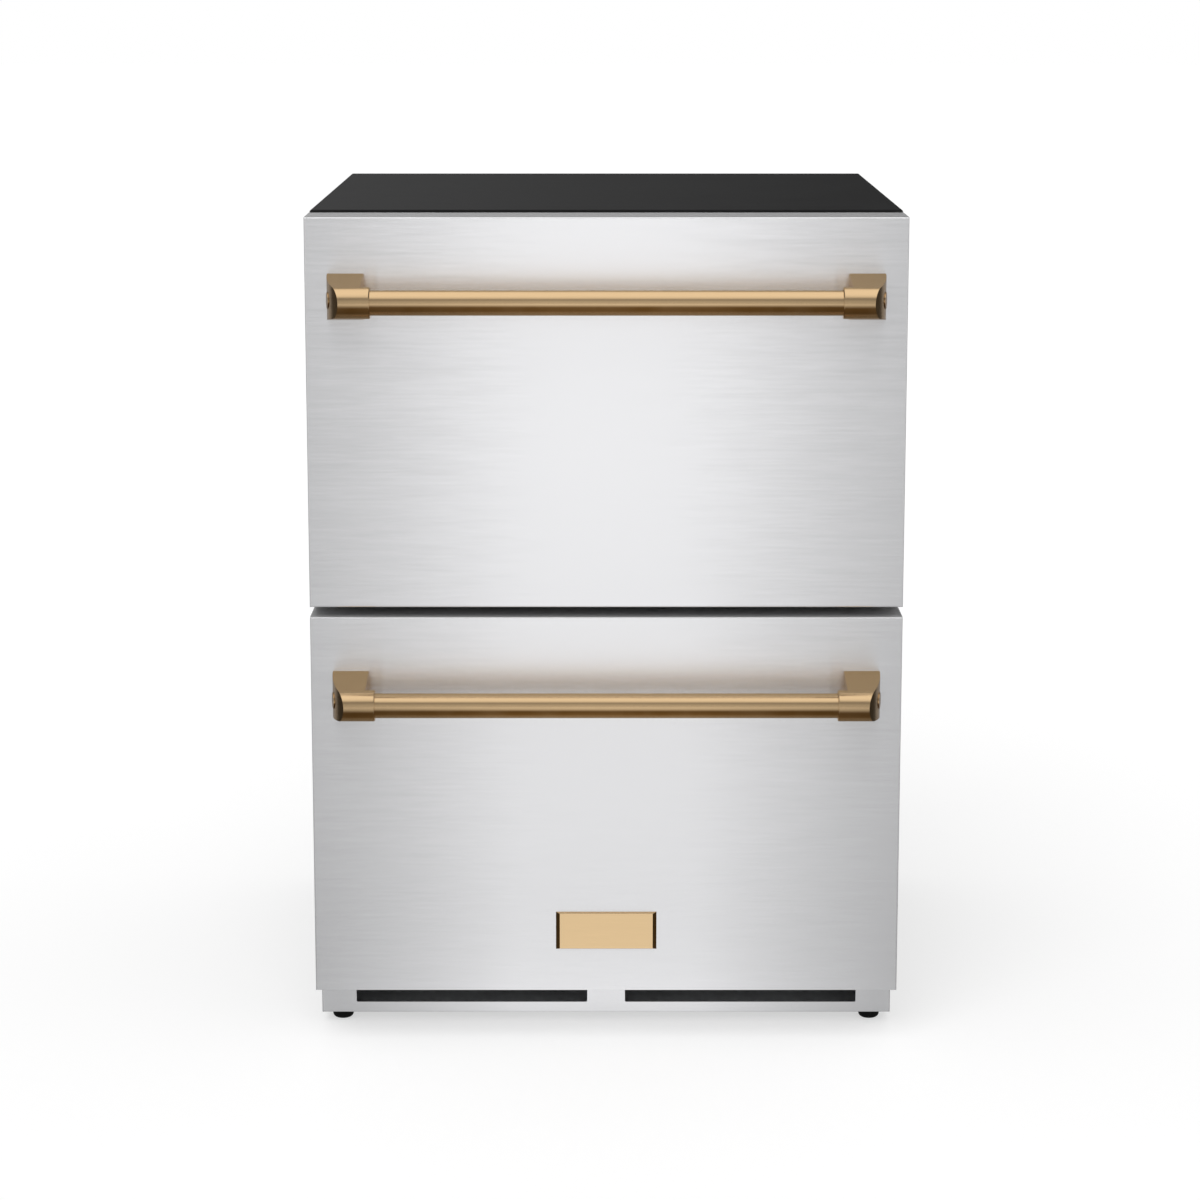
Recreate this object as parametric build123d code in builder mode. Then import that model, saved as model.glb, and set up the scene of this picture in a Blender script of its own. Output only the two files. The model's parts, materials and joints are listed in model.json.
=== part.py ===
from build123d import *
import os
from math import cos, degrees, asin, radians, sin, sqrt

# Two-drawer undercounter freezer, in millimetres.
# +Z is up and the drawer fronts face -Y. The origin is on the floor, under the middle of the
# whole object with its handles.

os.makedirs("parts", exist_ok=True)

# Cabinet and drawer fronts
WIDTH = 603.0
CABINET_DEPTH = 544.0
FRONT_HEIGHT = 396.0
FRONT_THICKNESS = 60.0
FRONT_GAP = 10.4
FRONT_BOTTOM = 59.4
FRONT_EDGE_RADIUS = 1.6
TOP_REVEAL = 2.2
GASKET_SPACE = 7.0
SHEET = 1.0
SEAM = 0.2
RUNNING_GAP = 0.3

# Handles
HANDLE_DROP = 80.0
HANDLE_STANDOFF = 51.0
BAR_DIAMETER = 25.0
BAR_WALL = 2.0
SLEEVE_DIAMETER = 31.5
SLEEVE_LENGTH = 46.4
SOCKET_DEPTH = 24.0
SOCKET_CLEARANCE = 0.1
BAR_END_GAP = 1.0
HANDLE_INSET = 22.6
POST_WIDTH = 36.5
POST_RISE = 24.0
POST_FALL = 22.5
END_ARC_RADIUS = 150.0
BRACKET_EDGE = 0.8
CAP_DIAMETER = 16.6
CAP_STANDOFF = 28.0
CAP_PROUD = 0.8
CAP_THICKNESS = 3.0
CAP_STEM_DIAMETER = 10.0
CAP_STEM_LENGTH = 9.0
MOUNT_SCREW_DIAMETER = 6.0
MOUNT_SCREW_GRIP = 18.0
MOUNT_SCREW_HEAD = 12.0
MOUNT_SCREW_HEAD_HEIGHT = 4.0

# Name plate on the lower front
PLATE_WIDTH = 104.0
PLATE_HEIGHT = 40.0
PLATE_THICKNESS = 3.0
PLATE_SIDE_BEVEL = 4.0
PLATE_TOP_BEVEL = 1.4
PLATE_CENTRE_HEIGHT = 65.0

# Insulated walls
SIDE_INSULATION = 48.0
TOP_INSULATION = 48.0
REAR_INSULATION = 48.0
FLOOR_INSULATION = 38.0
HUMP_INSULATION = 40.0
LINER_WALL = 1.5
LINER_CORNER = 12.0
MULLION_HEIGHT = 44.0
MULLION_DEPTH = 50.0
MULLION_EDGE = 6.0
UNDERSIDE_HEIGHT = 57.0
MACHINE_DEPTH = 190.0
MACHINE_TOP = 235.0

# Base
WRAP_BOTTOM = 12.0
WRAP_FLANGE = 8.0
REAR_LIP = 14.0
REAR_RECESS = 2.0
PAN_SHEET = 1.5
PAN_FLANGE = 30.0
PLINTH_SETBACK = 2.0
PLINTH_SHEET = 1.2
PLINTH_END_GAP = 0.5
PLINTH_RETURN = 11.0
PLINTH_SCREW_Z = 50.0
PLINTH_SCREW_INSET = 10.0
PLINTH_TAB_WIDTH = 34.0
SLOT_INNER_X = 20.0
SLOT_END_MARGIN = 35.3
SLOT_BOTTOM = 23.3
SLOT_HEIGHT = 20.0
SLOT_CORNER = 1.5
DIVIDER_FOOT = 12.0
FOOT_SIDE_INSET = 19.3
FOOT_INSET = 24.5
FOOT_DIAMETER = 22.0
FOOT_HEIGHT = 12.7
FOOT_ROUNDING = 4.5
FOOT_HEX_HEIGHT = 4.0
FOOT_HEX_DIAMETER = 18.0
STUD_DIAMETER = 10.0
STUD_LENGTH = 34.0
BOSS_DIAMETER = 19.0
BOSS_HEIGHT = 12.0

# Drawers
GASKET_INSET = 2.0
GASKET_WIDTH = 13.0
GASKET_BASE = 2.0
GASKET_WAIST = 1.6
GASKET_WAIST_INSET = 3.5
GASKET_BULB_INSET = 1.5
GASKET_CORNER = 6.0
PLATEAU_DEPTH = 14.0
PLATEAU_CLEARANCE = 9.0
PLATEAU_TAPER = 8.0
SLIDE_THICKNESS = 12.7
SLIDE_HEIGHT = 45.6
SLIDE_LENGTH = 395.0
SLIDE_SETBACK = 9.0
SLIDE_SHEET = 1.3
SLIDE_PLAY = 0.5
UPPER_SLIDE_RISE = 46.0
LOWER_SLIDE_RISE = 36.0
RAIL_LIP_BACK = 3.2
MIDDLE_LIP_BACK = 2.0
INNER_LIP_GAP = 0.6
FRAME_SHEET = 1.5
FRAME_REAR_GAP = 7.5
FRAME_BELOW_SLIDE = 23.0
FRAME_ABOVE_SLIDE = 27.0
FRAME_TAB_WIDTH = 22.0
FRAME_TAB_RISE = 60.0
FRAME_REAR_DROP = 4.0
BIN_WALL = 2.2
BIN_SIDE_GAP = 0.8
BIN_FRONT_GAP = 6.0
BIN_COLLAR_SIDE_GAP = 6.0
BIN_CORNER = 18.0
BIN_BOTTOM_RADIUS = 9.0
BIN_RIM = 3.0
BIN_RIM_OVERHANG = 2.0
BIN_STEP_CLEARANCE = 2.0
UPPER_BIN_TOP_GAP = 60.0
LOWER_BIN_TOP_GAP = 14.0
BIN_FLOOR_GAP = 12.0
BIN_REAR_GAP = 4.0

# Cold air
DUCT_DEPTH = 80.0
DUCT_SHEET = 2.0
DUCT_FLANGE = 12.0
OUTLET_WIDTH = 46.0
OUTLET_HEIGHT = 8.0
OUTLET_PITCH = 62.0
OUTLET_COUNT = 6
UPPER_OUTLET_DROP = 40.0
LOWER_OUTLET_DROP = 85.0
RETURN_SLOT_LENGTH = 28.0
RETURN_SLOT_WIDTH = 6.0
RETURN_PITCH = 20.0
RETURN_COUNT = 16
RETURN_RISE = 30.0
GRILLE_SLOT_LENGTH = 22.0
GRILLE_SLOT_WIDTH = 6.0
GRILLE_SLOTS = 12
EVAPORATOR_WIDTH = 340.0
EVAPORATOR_HEIGHT = 130.0
EVAPORATOR_DEPTH = 52.0
EVAPORATOR_RISE = 60.0
EVAPORATOR_FINS = 15
EVAPORATOR_REAR_GAP = 10.0
END_PLATE = 1.5
END_PLATE_GAP = 1.25
COIL_ROWS = 4
COIL_END = 6.0
FIN_SHEET = 0.8
COLD_FAN_DIAMETER = 104.0
COLD_FAN_DROP = 124.5
FAN_BLADES = 5
FAN_HUB_DIAMETER = 34.0
FAN_DEPTH = 16.0
FAN_TIP_GAP = 3.0
FAN_HUB_EDGE = 3.0
BLADE_ROOT_CHORD = 17.0
BLADE_ROOT_PITCH = 38.0
BLADE_TIP_PITCH = 20.0
BLADE_TIP_SHARE = 0.36
BLADE_THICKNESS = 1.6
SHAFT_DIAMETER = 5.0
SHAFT_CLEARANCE = 0.05
SHAFT_END_GAP = 1.0
HUB_CAP = 3.0
MOTOR_LENGTH = 34.0
MOTOR_DIAMETER = 46.0
MOTOR_EDGE = 4.0
BRACKET_WIDTH = 18.0
BRACKET_SHEET = 2.0
BRACKET_OVERLAP = 5.0
COLD_BRACKET_REACH = 15.0
COLD_POST_DIAMETER = 8.0
COLD_POST_INSET = 7.0
FAN_CLEAR = 1.0
BRACKET_DROP = 1.5
COLD_FAN_SETBACK = 6.0

# Machine compartment
COMPRESSOR_INSET = 135.3
COMPRESSOR_RADIUS = 70.0
COMPRESSOR_HEIGHT = 148.0
COMPRESSOR_PLATE = 3.0
COMPRESSOR_PLATE_CORNER = 10.0
SEAM_RIDGE = 3.5
SEAM_RIDGE_HEIGHT = 3.0
SEAM_RIDGE_RISE = 70.0
STUB_WALL = 1.5
STUB_LENGTH = 10.0
STUB_SPREAD = 20.0
DISCHARGE_RISE = 95.0
SUCTION_RISE = 75.0
TERMINAL_WIDTH = 46.0
TERMINAL_HEIGHT = 50.0
TERMINAL_RISE = 45.0
TERMINAL_DEPTH = 14.0
TERMINAL_CORNER = 5.0
SHELL_FOOT = 12.0
SHOULDER = 26.0
CROWN = 10.0
COMPRESSOR_BOLT_X = 80.0
COMPRESSOR_BOLT_Y = 46.0
GROMMET_DIAMETER = 24.0
GROMMET_HEIGHT = 12.0
GROMMET_NECK = 12.0
GROMMET_BUTTON = 18.0
GROMMET_BUTTON_HEIGHT = 4.0
CONDENSER_INSET = 135.3
CONDENSER_THICKNESS = 56.0
CONDENSER_DEPTH = 156.0
CONDENSER_HEIGHT = 156.0
CONDENSER_FINS = 15
WARM_FAN_DIAMETER = 132.0
SHROUD_THICKNESS = 24.0
SHROUD_SHEET = 2.0
TRAY_WALL = 2.0
TRAY_HEIGHT = 24.0
TRAY_WIDTH = 190.0
TRAY_DEPTH = 150.0
TRAY_CORNER = 12.0
DRAIN_DIAMETER = 16.0
DRAIN_WALL = 1.5
DRAIN_BRIM = 5.0
DRAIN_MOUTH_GAP = 8.0
PIPE_DIAMETER = 8.0
PIPE_BEND = 12.0
TIGHT_PIPE_BEND = 8.0
PIPE_WALL_GAP = 14.0
DISCHARGE_REACH = 30.0
SUCTION_REACH = 52.0
DRIER_DIAMETER = 22.0
DRIER_LENGTH = 96.0
DRIER_RISE = 56.0
DRIER_COLLAR = 8.0
DRIER_CONE = 10.0
DRIER_OFFSET = 24.0
DRIER_FORWARD = 54.0
BOX_WIDTH = 44.0
BOX_DEPTH = 86.0
BOX_HEIGHT = 100.0
BOX_REARWARD = 6.0
BOX_EDGE = 4.0
VENT_WIDTH = 5.0
VENT_HEIGHT = 90.0
VENT_PITCH = 16.0
VENT_COUNT = 14
GLAND_INSET = 38.3
GLAND_Z = 52.0
GLAND_DIAMETER = 20.0
GLAND_WALL = 5.0
GLAND_BRIM = 3.0
GLAND_NOSE = 6.0
GLAND_BARB = 2.2
SCREW_HEAD = 7.4
SCREW_SHANK = 3.8
SCREW_HEAD_HEIGHT = 1.6
SCREW_LENGTH = 7.0
SCREW_MARGIN = 30.0
COVER_SCREW_RISE = 50.0

# Display and light under the ceiling
DISPLAY_GAP = 3.0
DISPLAY_DEPTH = 52.0
DISPLAY_HEIGHT = 20.0
DISPLAY_WIDTH = 190.0
DISPLAY_LEAN = 7.0
DISPLAY_TAIL = 12.0
LIGHT_WIDTH = 300.0
LIGHT_DEPTH = 22.0
LIGHT_HEIGHT = 7.0
LIGHT_SLOPE = 60.0
LIGHT_SETBACK = 110.0

# Places worked out from the sizes above
HANDLE_REACH = HANDLE_STANDOFF + SLEEVE_DIAMETER / 2
OVERALL_DEPTH = HANDLE_REACH + FRONT_THICKNESS + GASKET_SPACE + CABINET_DEPTH
FRONT_Y = HANDLE_REACH - OVERALL_DEPTH / 2
FRONT_BACK_Y = FRONT_Y + FRONT_THICKNESS
CABINET_Y = FRONT_BACK_Y + GASKET_SPACE
REAR_Y = CABINET_Y + CABINET_DEPTH
GAP_Z = FRONT_BOTTOM + FRONT_HEIGHT + FRONT_GAP / 2
CABINET_TOP = FRONT_BOTTOM + 2 * FRONT_HEIGHT + FRONT_GAP + TOP_REVEAL

WRAP_HALF = WIDTH / 2 - SHEET
PANEL_HALF = WRAP_HALF - SEAM
POST_OUTER_X = WIDTH / 2 - HANDLE_INSET
POST_INNER_X = POST_OUTER_X - POST_WIDTH
SLEEVE_INNER_X = POST_OUTER_X - SLEEVE_LENGTH
SLOT_OUTER_X = PANEL_HALF - SLOT_END_MARGIN
FOOT_X = PANEL_HALF - FOOT_SIDE_INSET
COMPRESSOR_X = COMPRESSOR_INSET - PANEL_HALF
CONDENSER_X = PANEL_HALF - CONDENSER_INSET
GLAND_X = PANEL_HALF - GLAND_INSET
FRAME_PLATE_BACK = CABINET_Y + SHEET
LINER_FLANGE_BACK = FRAME_PLATE_BACK + LINER_WALL
LIP_Y = REAR_Y - REAR_RECESS - 2 * SHEET
REAR_PANEL_Y = LIP_Y + SHEET
CAVITY_HALF = WIDTH / 2 - SIDE_INSULATION - LINER_WALL
CAVITY_CEILING = CABINET_TOP - TOP_INSULATION - LINER_WALL
COLD_FAN_HEIGHT = CAVITY_CEILING - COLD_FAN_DROP
CAVITY_FLOOR = UNDERSIDE_HEIGHT + SHEET + FLOOR_INSULATION + LINER_WALL
CAVITY_REAR = REAR_Y - REAR_INSULATION - LINER_WALL
MACHINE_Y = REAR_Y - MACHINE_DEPTH
HUMP_FACE = MACHINE_Y - SHEET - HUMP_INSULATION - LINER_WALL
HUMP_TOP = MACHINE_TOP + SHEET + HUMP_INSULATION + LINER_WALL
PAN_FLOOR = WRAP_BOTTOM + SHEET
PAN_TOP = PAN_FLOOR + PAN_SHEET
DUCT_Y = CAVITY_REAR - DUCT_DEPTH
DRAIN_X = COMPRESSOR_X
DRAIN_Y = CAVITY_REAR - LINER_CORNER - DRAIN_DIAMETER / 2 - DRAIN_BRIM - SEAM
SLIDE_Y = CABINET_Y + SLIDE_SETBACK
FRAME_X = CAVITY_HALF - SLIDE_THICKNESS
FRAME_Y = FRONT_BACK_Y + PLATEAU_DEPTH
FRAME_LENGTH = DUCT_Y - FRAME_REAR_GAP - FRAME_Y

DRAWERS = {
    "upper": {
        "bottom": GAP_Z + FRONT_GAP / 2,
        "open_bottom": GAP_Z + MULLION_HEIGHT / 2,
        "open_top": CAVITY_CEILING,
        "slide_z": GAP_Z + MULLION_HEIGHT / 2 + UPPER_SLIDE_RISE,
        "bin_top": CAVITY_CEILING - UPPER_BIN_TOP_GAP,
        "deep_end": FRAME_Y + FRAME_LENGTH - FRAME_SHEET - BIN_REAR_GAP,
    },
    "lower": {
        "bottom": FRONT_BOTTOM,
        "open_bottom": CAVITY_FLOOR,
        "open_top": GAP_Z - MULLION_HEIGHT / 2,
        "slide_z": HUMP_TOP + LOWER_SLIDE_RISE,
        "bin_top": GAP_Z - MULLION_HEIGHT / 2 - LOWER_BIN_TOP_GAP,
        "deep_end": HUMP_FACE - BIN_FLOOR_GAP,
    },
}


def across(y):
    """Plane across the object at depth y: sketch x runs right and sketch y runs up."""
    return Plane.XZ.offset(-y)


def cold_space(front, grow):
    """Stepped cold space from a front depth, with rounded corners, grown outwards by a wall."""
    side = CAVITY_HALF + grow
    step = (HUMP_FACE + grow, HUMP_TOP - grow)
    with BuildPart() as space:
        with BuildSketch(Plane.YZ.offset(-side)):
            Polygon(
                (front, CAVITY_FLOOR - grow),
                (step[0], CAVITY_FLOOR - grow),
                step,
                (CAVITY_REAR + grow, step[1]),
                (CAVITY_REAR + grow, CAVITY_CEILING + grow),
                (front, CAVITY_CEILING + grow),
                align=None,
            )
        extrude(amount=2 * side)
        ridge = space.edges().filter_by(Axis.X).sort_by_distance((0, *step))[0]
        fillet(ridge, LINER_CORNER - grow)
        fillet(space.edges().filter_by(lambda edge: edge.center().Y > front + SEAM), LINER_CORNER + grow)
    return space.part


def span(low_x, high_x, low_z, high_z, mode=Mode.ADD):
    """Rectangle between two x and two z values, in a sketch that lies across the object."""
    with Locations(((low_x + high_x) / 2, (low_z + high_z) / 2)):
        Rectangle(high_x - low_x, high_z - low_z, mode=mode)


REAR_SEAM_Z = MACHINE_TOP + SHEET
SCREW_X = WRAP_HALF - REAR_LIP / 2
panel_screw_places = [
    (side * SCREW_X, z)
    for side in (-1, 1)
    for z in (REAR_SEAM_Z + SCREW_MARGIN, (REAR_SEAM_Z + CABINET_TOP) / 2, CABINET_TOP - SCREW_MARGIN)
]
cover_screw_places = [
    (side * SCREW_X, z)
    for side in (-1, 1)
    for z in (PAN_TOP + COVER_SCREW_RISE, REAR_SEAM_Z - SCREW_MARGIN)
]
rear_screw_places = panel_screw_places + cover_screw_places

# Outer wrap: top and sides folded from one sheet, with bottom flanges, a lip round the rear and
# sides cut back behind the ends of the plinth
with BuildPart() as cabinet_wrap:
    with BuildSketch(across(CABINET_Y)) as wrap_section:
        span(-WIDTH / 2, WIDTH / 2, WRAP_BOTTOM, CABINET_TOP)
        fillet(wrap_section.vertices().group_by(Axis.Y)[-1], 2 * SHEET)
        span(-WRAP_HALF, WRAP_HALF, WRAP_BOTTOM + SHEET, CABINET_TOP - SHEET, Mode.SUBTRACT)
        flange_x = WRAP_HALF - WRAP_FLANGE
        span(-flange_x, flange_x, WRAP_BOTTOM, WRAP_BOTTOM + SHEET, Mode.SUBTRACT)
    extrude(amount=-CABINET_DEPTH)
    with BuildSketch(across(LIP_Y)):
        span(-WRAP_HALF, WRAP_HALF, WRAP_BOTTOM + SHEET, CABINET_TOP - SHEET)
        lip_x = WRAP_HALF - REAR_LIP
        span(-lip_x, lip_x, WRAP_BOTTOM + SHEET, CABINET_TOP - SHEET - REAR_LIP, Mode.SUBTRACT)
        with Locations(*rear_screw_places):
            Circle(SCREW_SHANK / 2 + SEAM / 2, mode=Mode.SUBTRACT)
    extrude(amount=-SHEET)
    with BuildSketch(across(CABINET_Y)):
        span(-WRAP_HALF, WRAP_HALF, WRAP_BOTTOM, WRAP_BOTTOM + SHEET)
    extrude(amount=-(PLINTH_SETBACK + PLINTH_RETURN + SEAM), mode=Mode.SUBTRACT)
    with BuildSketch(across(CABINET_Y)):
        span(-WIDTH / 2, WIDTH / 2, WRAP_BOTTOM, UNDERSIDE_HEIGHT)
    extrude(amount=-(PLINTH_SETBACK + PLINTH_SHEET + SEAM), mode=Mode.SUBTRACT)
cabinet_wrap.part.label = "cabinet_wrap"
export_step(cabinet_wrap.part, "parts/cabinet_wrap.step")

# Front frame that the gaskets close against, with one opening for each drawer
with BuildPart() as face_frame:
    with BuildSketch(across(CABINET_Y)):
        span(-PANEL_HALF, PANEL_HALF, UNDERSIDE_HEIGHT, CABINET_TOP - SHEET - SEAM)
        for drawer in DRAWERS.values():
            with Locations((0, (drawer["open_bottom"] + drawer["open_top"]) / 2)):
                opening_height = drawer["open_top"] - drawer["open_bottom"]
                RectangleRounded(2 * CAVITY_HALF, opening_height, LINER_CORNER, mode=Mode.SUBTRACT)
    extrude(amount=-SHEET)
face_frame.part.label = "face_frame"
export_step(face_frame.part, "parts/face_frame.step")

# Inner liner: one stepped cold space with a flange behind the front frame
with BuildPart() as freezer_liner:
    add(cold_space(FRAME_PLATE_BACK, LINER_WALL))
    with BuildSketch(across(FRAME_PLATE_BACK)):
        span(-PANEL_HALF, PANEL_HALF, UNDERSIDE_HEIGHT + SHEET, CABINET_TOP - SHEET - SEAM)
    extrude(amount=-LINER_WALL)
    add(cold_space(CABINET_Y, 0), mode=Mode.SUBTRACT)
    with BuildSketch(Plane.XY.offset(HUMP_TOP - 2 * LINER_WALL)):
        with Locations((DRAIN_X, DRAIN_Y)):
            Circle(DRAIN_DIAMETER / 2 + SEAM)
    extrude(amount=3 * LINER_WALL, mode=Mode.SUBTRACT)
freezer_liner.part.label = "freezer_liner"
export_step(freezer_liner.part, "parts/freezer_liner.step")

# Foamed insulation between the wrap and the liner
with BuildPart() as cabinet_insulation:
    with BuildSketch(Plane.YZ.offset(-WRAP_HALF)):
        Polygon(
            (LINER_FLANGE_BACK, UNDERSIDE_HEIGHT + SHEET),
            (MACHINE_Y - SHEET, UNDERSIDE_HEIGHT + SHEET),
            (MACHINE_Y - SHEET, MACHINE_TOP + SHEET),
            (LIP_Y, MACHINE_TOP + SHEET),
            (LIP_Y, CABINET_TOP - SHEET),
            (LINER_FLANGE_BACK, CABINET_TOP - SHEET),
            align=None,
        )
    extrude(amount=2 * WRAP_HALF)
    add(cold_space(CABINET_Y, LINER_WALL), mode=Mode.SUBTRACT)
    with BuildSketch(Plane.XY.offset(MACHINE_TOP)):
        with Locations((DRAIN_X, DRAIN_Y)):
            Circle(DRAIN_DIAMETER / 2 + SEAM)
    extrude(amount=HUMP_INSULATION + 2 * SHEET, mode=Mode.SUBTRACT)
    with BuildSketch(across(LIP_Y)):
        with Locations(*panel_screw_places):
            Circle(SCREW_SHANK / 2 + SEAM)
    extrude(amount=SCREW_LENGTH, mode=Mode.SUBTRACT)
cabinet_insulation.part.label = "cabinet_insulation"
export_step(cabinet_insulation.part, "parts/cabinet_insulation.step")

# Insulated cross rail between the two drawer openings
with BuildPart() as mullion:
    with BuildSketch(across(FRAME_PLATE_BACK)):
        rail_half = MULLION_HEIGHT / 2
        span(-CAVITY_HALF + SEAM, CAVITY_HALF - SEAM, GAP_Z - rail_half, GAP_Z + rail_half)
    extrude(amount=-MULLION_DEPTH)
    fillet(mullion.edges().filter_by(Axis.X).group_by(Axis.Y)[-1], MULLION_EDGE)
mullion.part.label = "mullion"
export_step(mullion.part, "parts/mullion.step")

# Folded sheet under the floor insulation and over the machine compartment
with BuildPart() as underside_panel:
    with BuildSketch(Plane.YZ.offset(-PANEL_HALF)):
        Polygon(
            (LINER_FLANGE_BACK, UNDERSIDE_HEIGHT),
            (MACHINE_Y, UNDERSIDE_HEIGHT),
            (MACHINE_Y, MACHINE_TOP),
            (LIP_Y - SEAM, MACHINE_TOP),
            (LIP_Y - SEAM, MACHINE_TOP + SHEET),
            (MACHINE_Y - SHEET, MACHINE_TOP + SHEET),
            (MACHINE_Y - SHEET, UNDERSIDE_HEIGHT + SHEET),
            (LINER_FLANGE_BACK, UNDERSIDE_HEIGHT + SHEET),
            align=None,
        )
    extrude(amount=2 * PANEL_HALF)
    with BuildSketch(Plane.XY.offset(MACHINE_TOP - SHEET)):
        with Locations((DRAIN_X, DRAIN_Y)):
            Circle(DRAIN_DIAMETER / 2 + SEAM)
    extrude(amount=3 * SHEET, mode=Mode.SUBTRACT)
underside_panel.part.label = "underside_panel"
export_step(underside_panel.part, "parts/underside_panel.step")

# Rear panel above the machine compartment
with BuildPart() as rear_panel:
    with BuildSketch(across(REAR_PANEL_Y)):
        span(-PANEL_HALF, PANEL_HALF, REAR_SEAM_Z + SEAM, CABINET_TOP - SHEET - SEAM)
        with Locations(*panel_screw_places):
            Circle(SCREW_SHANK / 2 + SEAM, mode=Mode.SUBTRACT)
    extrude(amount=-SHEET)
rear_panel.part.label = "rear_panel"
export_step(rear_panel.part, "parts/rear_panel.step")

# Vented cover of the machine compartment, with the bushing hole of the supply lead
with BuildPart() as rear_cover:
    with BuildSketch(across(REAR_PANEL_Y)):
        span(-PANEL_HALF, PANEL_HALF, PAN_TOP + SEAM, REAR_SEAM_Z)
        with Locations((0, (PAN_TOP + REAR_SEAM_Z) / 2)):
            with GridLocations(VENT_PITCH, 1, VENT_COUNT, 1):
                SlotOverall(VENT_HEIGHT, VENT_WIDTH, rotation=90, mode=Mode.SUBTRACT)
        with Locations((GLAND_X, GLAND_Z)):
            Circle(GLAND_DIAMETER / 2, mode=Mode.SUBTRACT)
        with Locations(*cover_screw_places):
            Circle(SCREW_SHANK / 2 + SEAM, mode=Mode.SUBTRACT)
    extrude(amount=-SHEET)
rear_cover.part.label = "rear_cover"
export_step(rear_cover.part, "parts/rear_cover.step")

# Bushing that the supply lead leaves through; it snaps into the cover from both sides
with BuildPart() as lead_bushing:
    with BuildSketch(Plane.XY):
        bore = GLAND_DIAMETER / 2 - GLAND_WALL
        neck = GLAND_DIAMETER / 2 - SEAM
        brim = GLAND_DIAMETER / 2 + GLAND_BRIM
        brim_back = SHEET + REAR_RECESS - SEAM
        Polygon(
            (bore, -GLAND_NOSE),
            (neck, -GLAND_NOSE),
            (brim, -GLAND_BARB),
            (brim, -SEAM),
            (neck, -SEAM),
            (neck, SHEET + SEAM),
            (brim, SHEET + SEAM),
            (brim, brim_back),
            (bore, brim_back),
            align=None,
        )
    revolve(axis=Axis.Y)
lead_bushing_placed = Pos(GLAND_X, REAR_PANEL_Y, GLAND_Z) * lead_bushing.part
lead_bushing_placed.label = "lead_bushing"
export_step(lead_bushing_placed, "parts/lead_bushing.step")

# Base pan: folded tray with a threaded boss over each foot and a seat for each compressor bolt
FOOT_Y = {"front": CABINET_Y + FOOT_INSET, "rear": REAR_Y - FOOT_INSET}
PAN_FRONT = CABINET_Y + PLINTH_SETBACK + PLINTH_SHEET + SEAM
PAN_REAR = LIP_Y - SEAM
COMPRESSOR_Y = (MACHINE_Y + REAR_PANEL_Y) / 2
PLINTH_SCREW_X = PANEL_HALF - PLINTH_SCREW_INSET
plinth_screw_places = [(-PLINTH_SCREW_X, PLINTH_SCREW_Z), (PLINTH_SCREW_X, PLINTH_SCREW_Z)]
with BuildPart() as base_pan:
    with BuildSketch(across(PAN_FRONT)):
        span(-PANEL_HALF, PANEL_HALF, PAN_FLOOR, PAN_FLOOR + PAN_FLANGE)
        inner = PANEL_HALF - PAN_SHEET
        span(-inner, inner, PAN_TOP, PAN_FLOOR + PAN_FLANGE, Mode.SUBTRACT)
    extrude(amount=PAN_FRONT - PAN_REAR)
    with BuildSketch(across(PAN_FRONT)):
        for side in (-1, 1):
            tab_x = side * (PANEL_HALF - PLINTH_TAB_WIDTH / 2)
            with Locations((tab_x, (PAN_FLOOR + UNDERSIDE_HEIGHT) / 2)):
                Rectangle(PLINTH_TAB_WIDTH, UNDERSIDE_HEIGHT - PAN_FLOOR)
        with Locations(*plinth_screw_places):
            Circle(SCREW_SHANK / 2 + SEAM / 2, mode=Mode.SUBTRACT)
    extrude(amount=-PAN_SHEET)
    foot_places = [(side * FOOT_X, y) for side in (-1, 1) for y in FOOT_Y.values()]
    with BuildSketch(Plane.XY.offset(PAN_TOP)):
        with Locations(*foot_places):
            Circle(BOSS_DIAMETER / 2)
    extrude(amount=BOSS_HEIGHT)
    with BuildSketch(Plane.XY.offset(PAN_FLOOR)):
        with Locations(*foot_places):
            Circle(STUD_DIAMETER / 2 + RUNNING_GAP)
    extrude(amount=PAN_SHEET + BOSS_HEIGHT, mode=Mode.SUBTRACT)
base_pan.part.label = "base_pan"
export_step(base_pan.part, "parts/base_pan.step")

# Divider that parts the incoming air from the outgoing air under the floor
with BuildPart() as air_divider:
    divider_front = PAN_FRONT + PLINTH_RETURN
    with BuildSketch(Plane.YZ.offset(-SHEET / 2)):
        Polygon(
            (divider_front, PAN_TOP),
            (MACHINE_Y - SHEET, PAN_TOP),
            (MACHINE_Y - SHEET, UNDERSIDE_HEIGHT),
            (divider_front, UNDERSIDE_HEIGHT),
            align=None,
        )
    extrude(amount=SHEET)
    with BuildSketch(Plane.XY.offset(PAN_TOP)):
        with Locations((0, (divider_front + MACHINE_Y) / 2)):
            foot_run = MACHINE_Y - divider_front - 2 * SHEET
            Rectangle(DIVIDER_FOOT, foot_run, align=(Align.MIN, Align.CENTER))
    extrude(amount=SHEET)
air_divider.part.label = "air_divider"
export_step(air_divider.part, "parts/air_divider.step")

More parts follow.
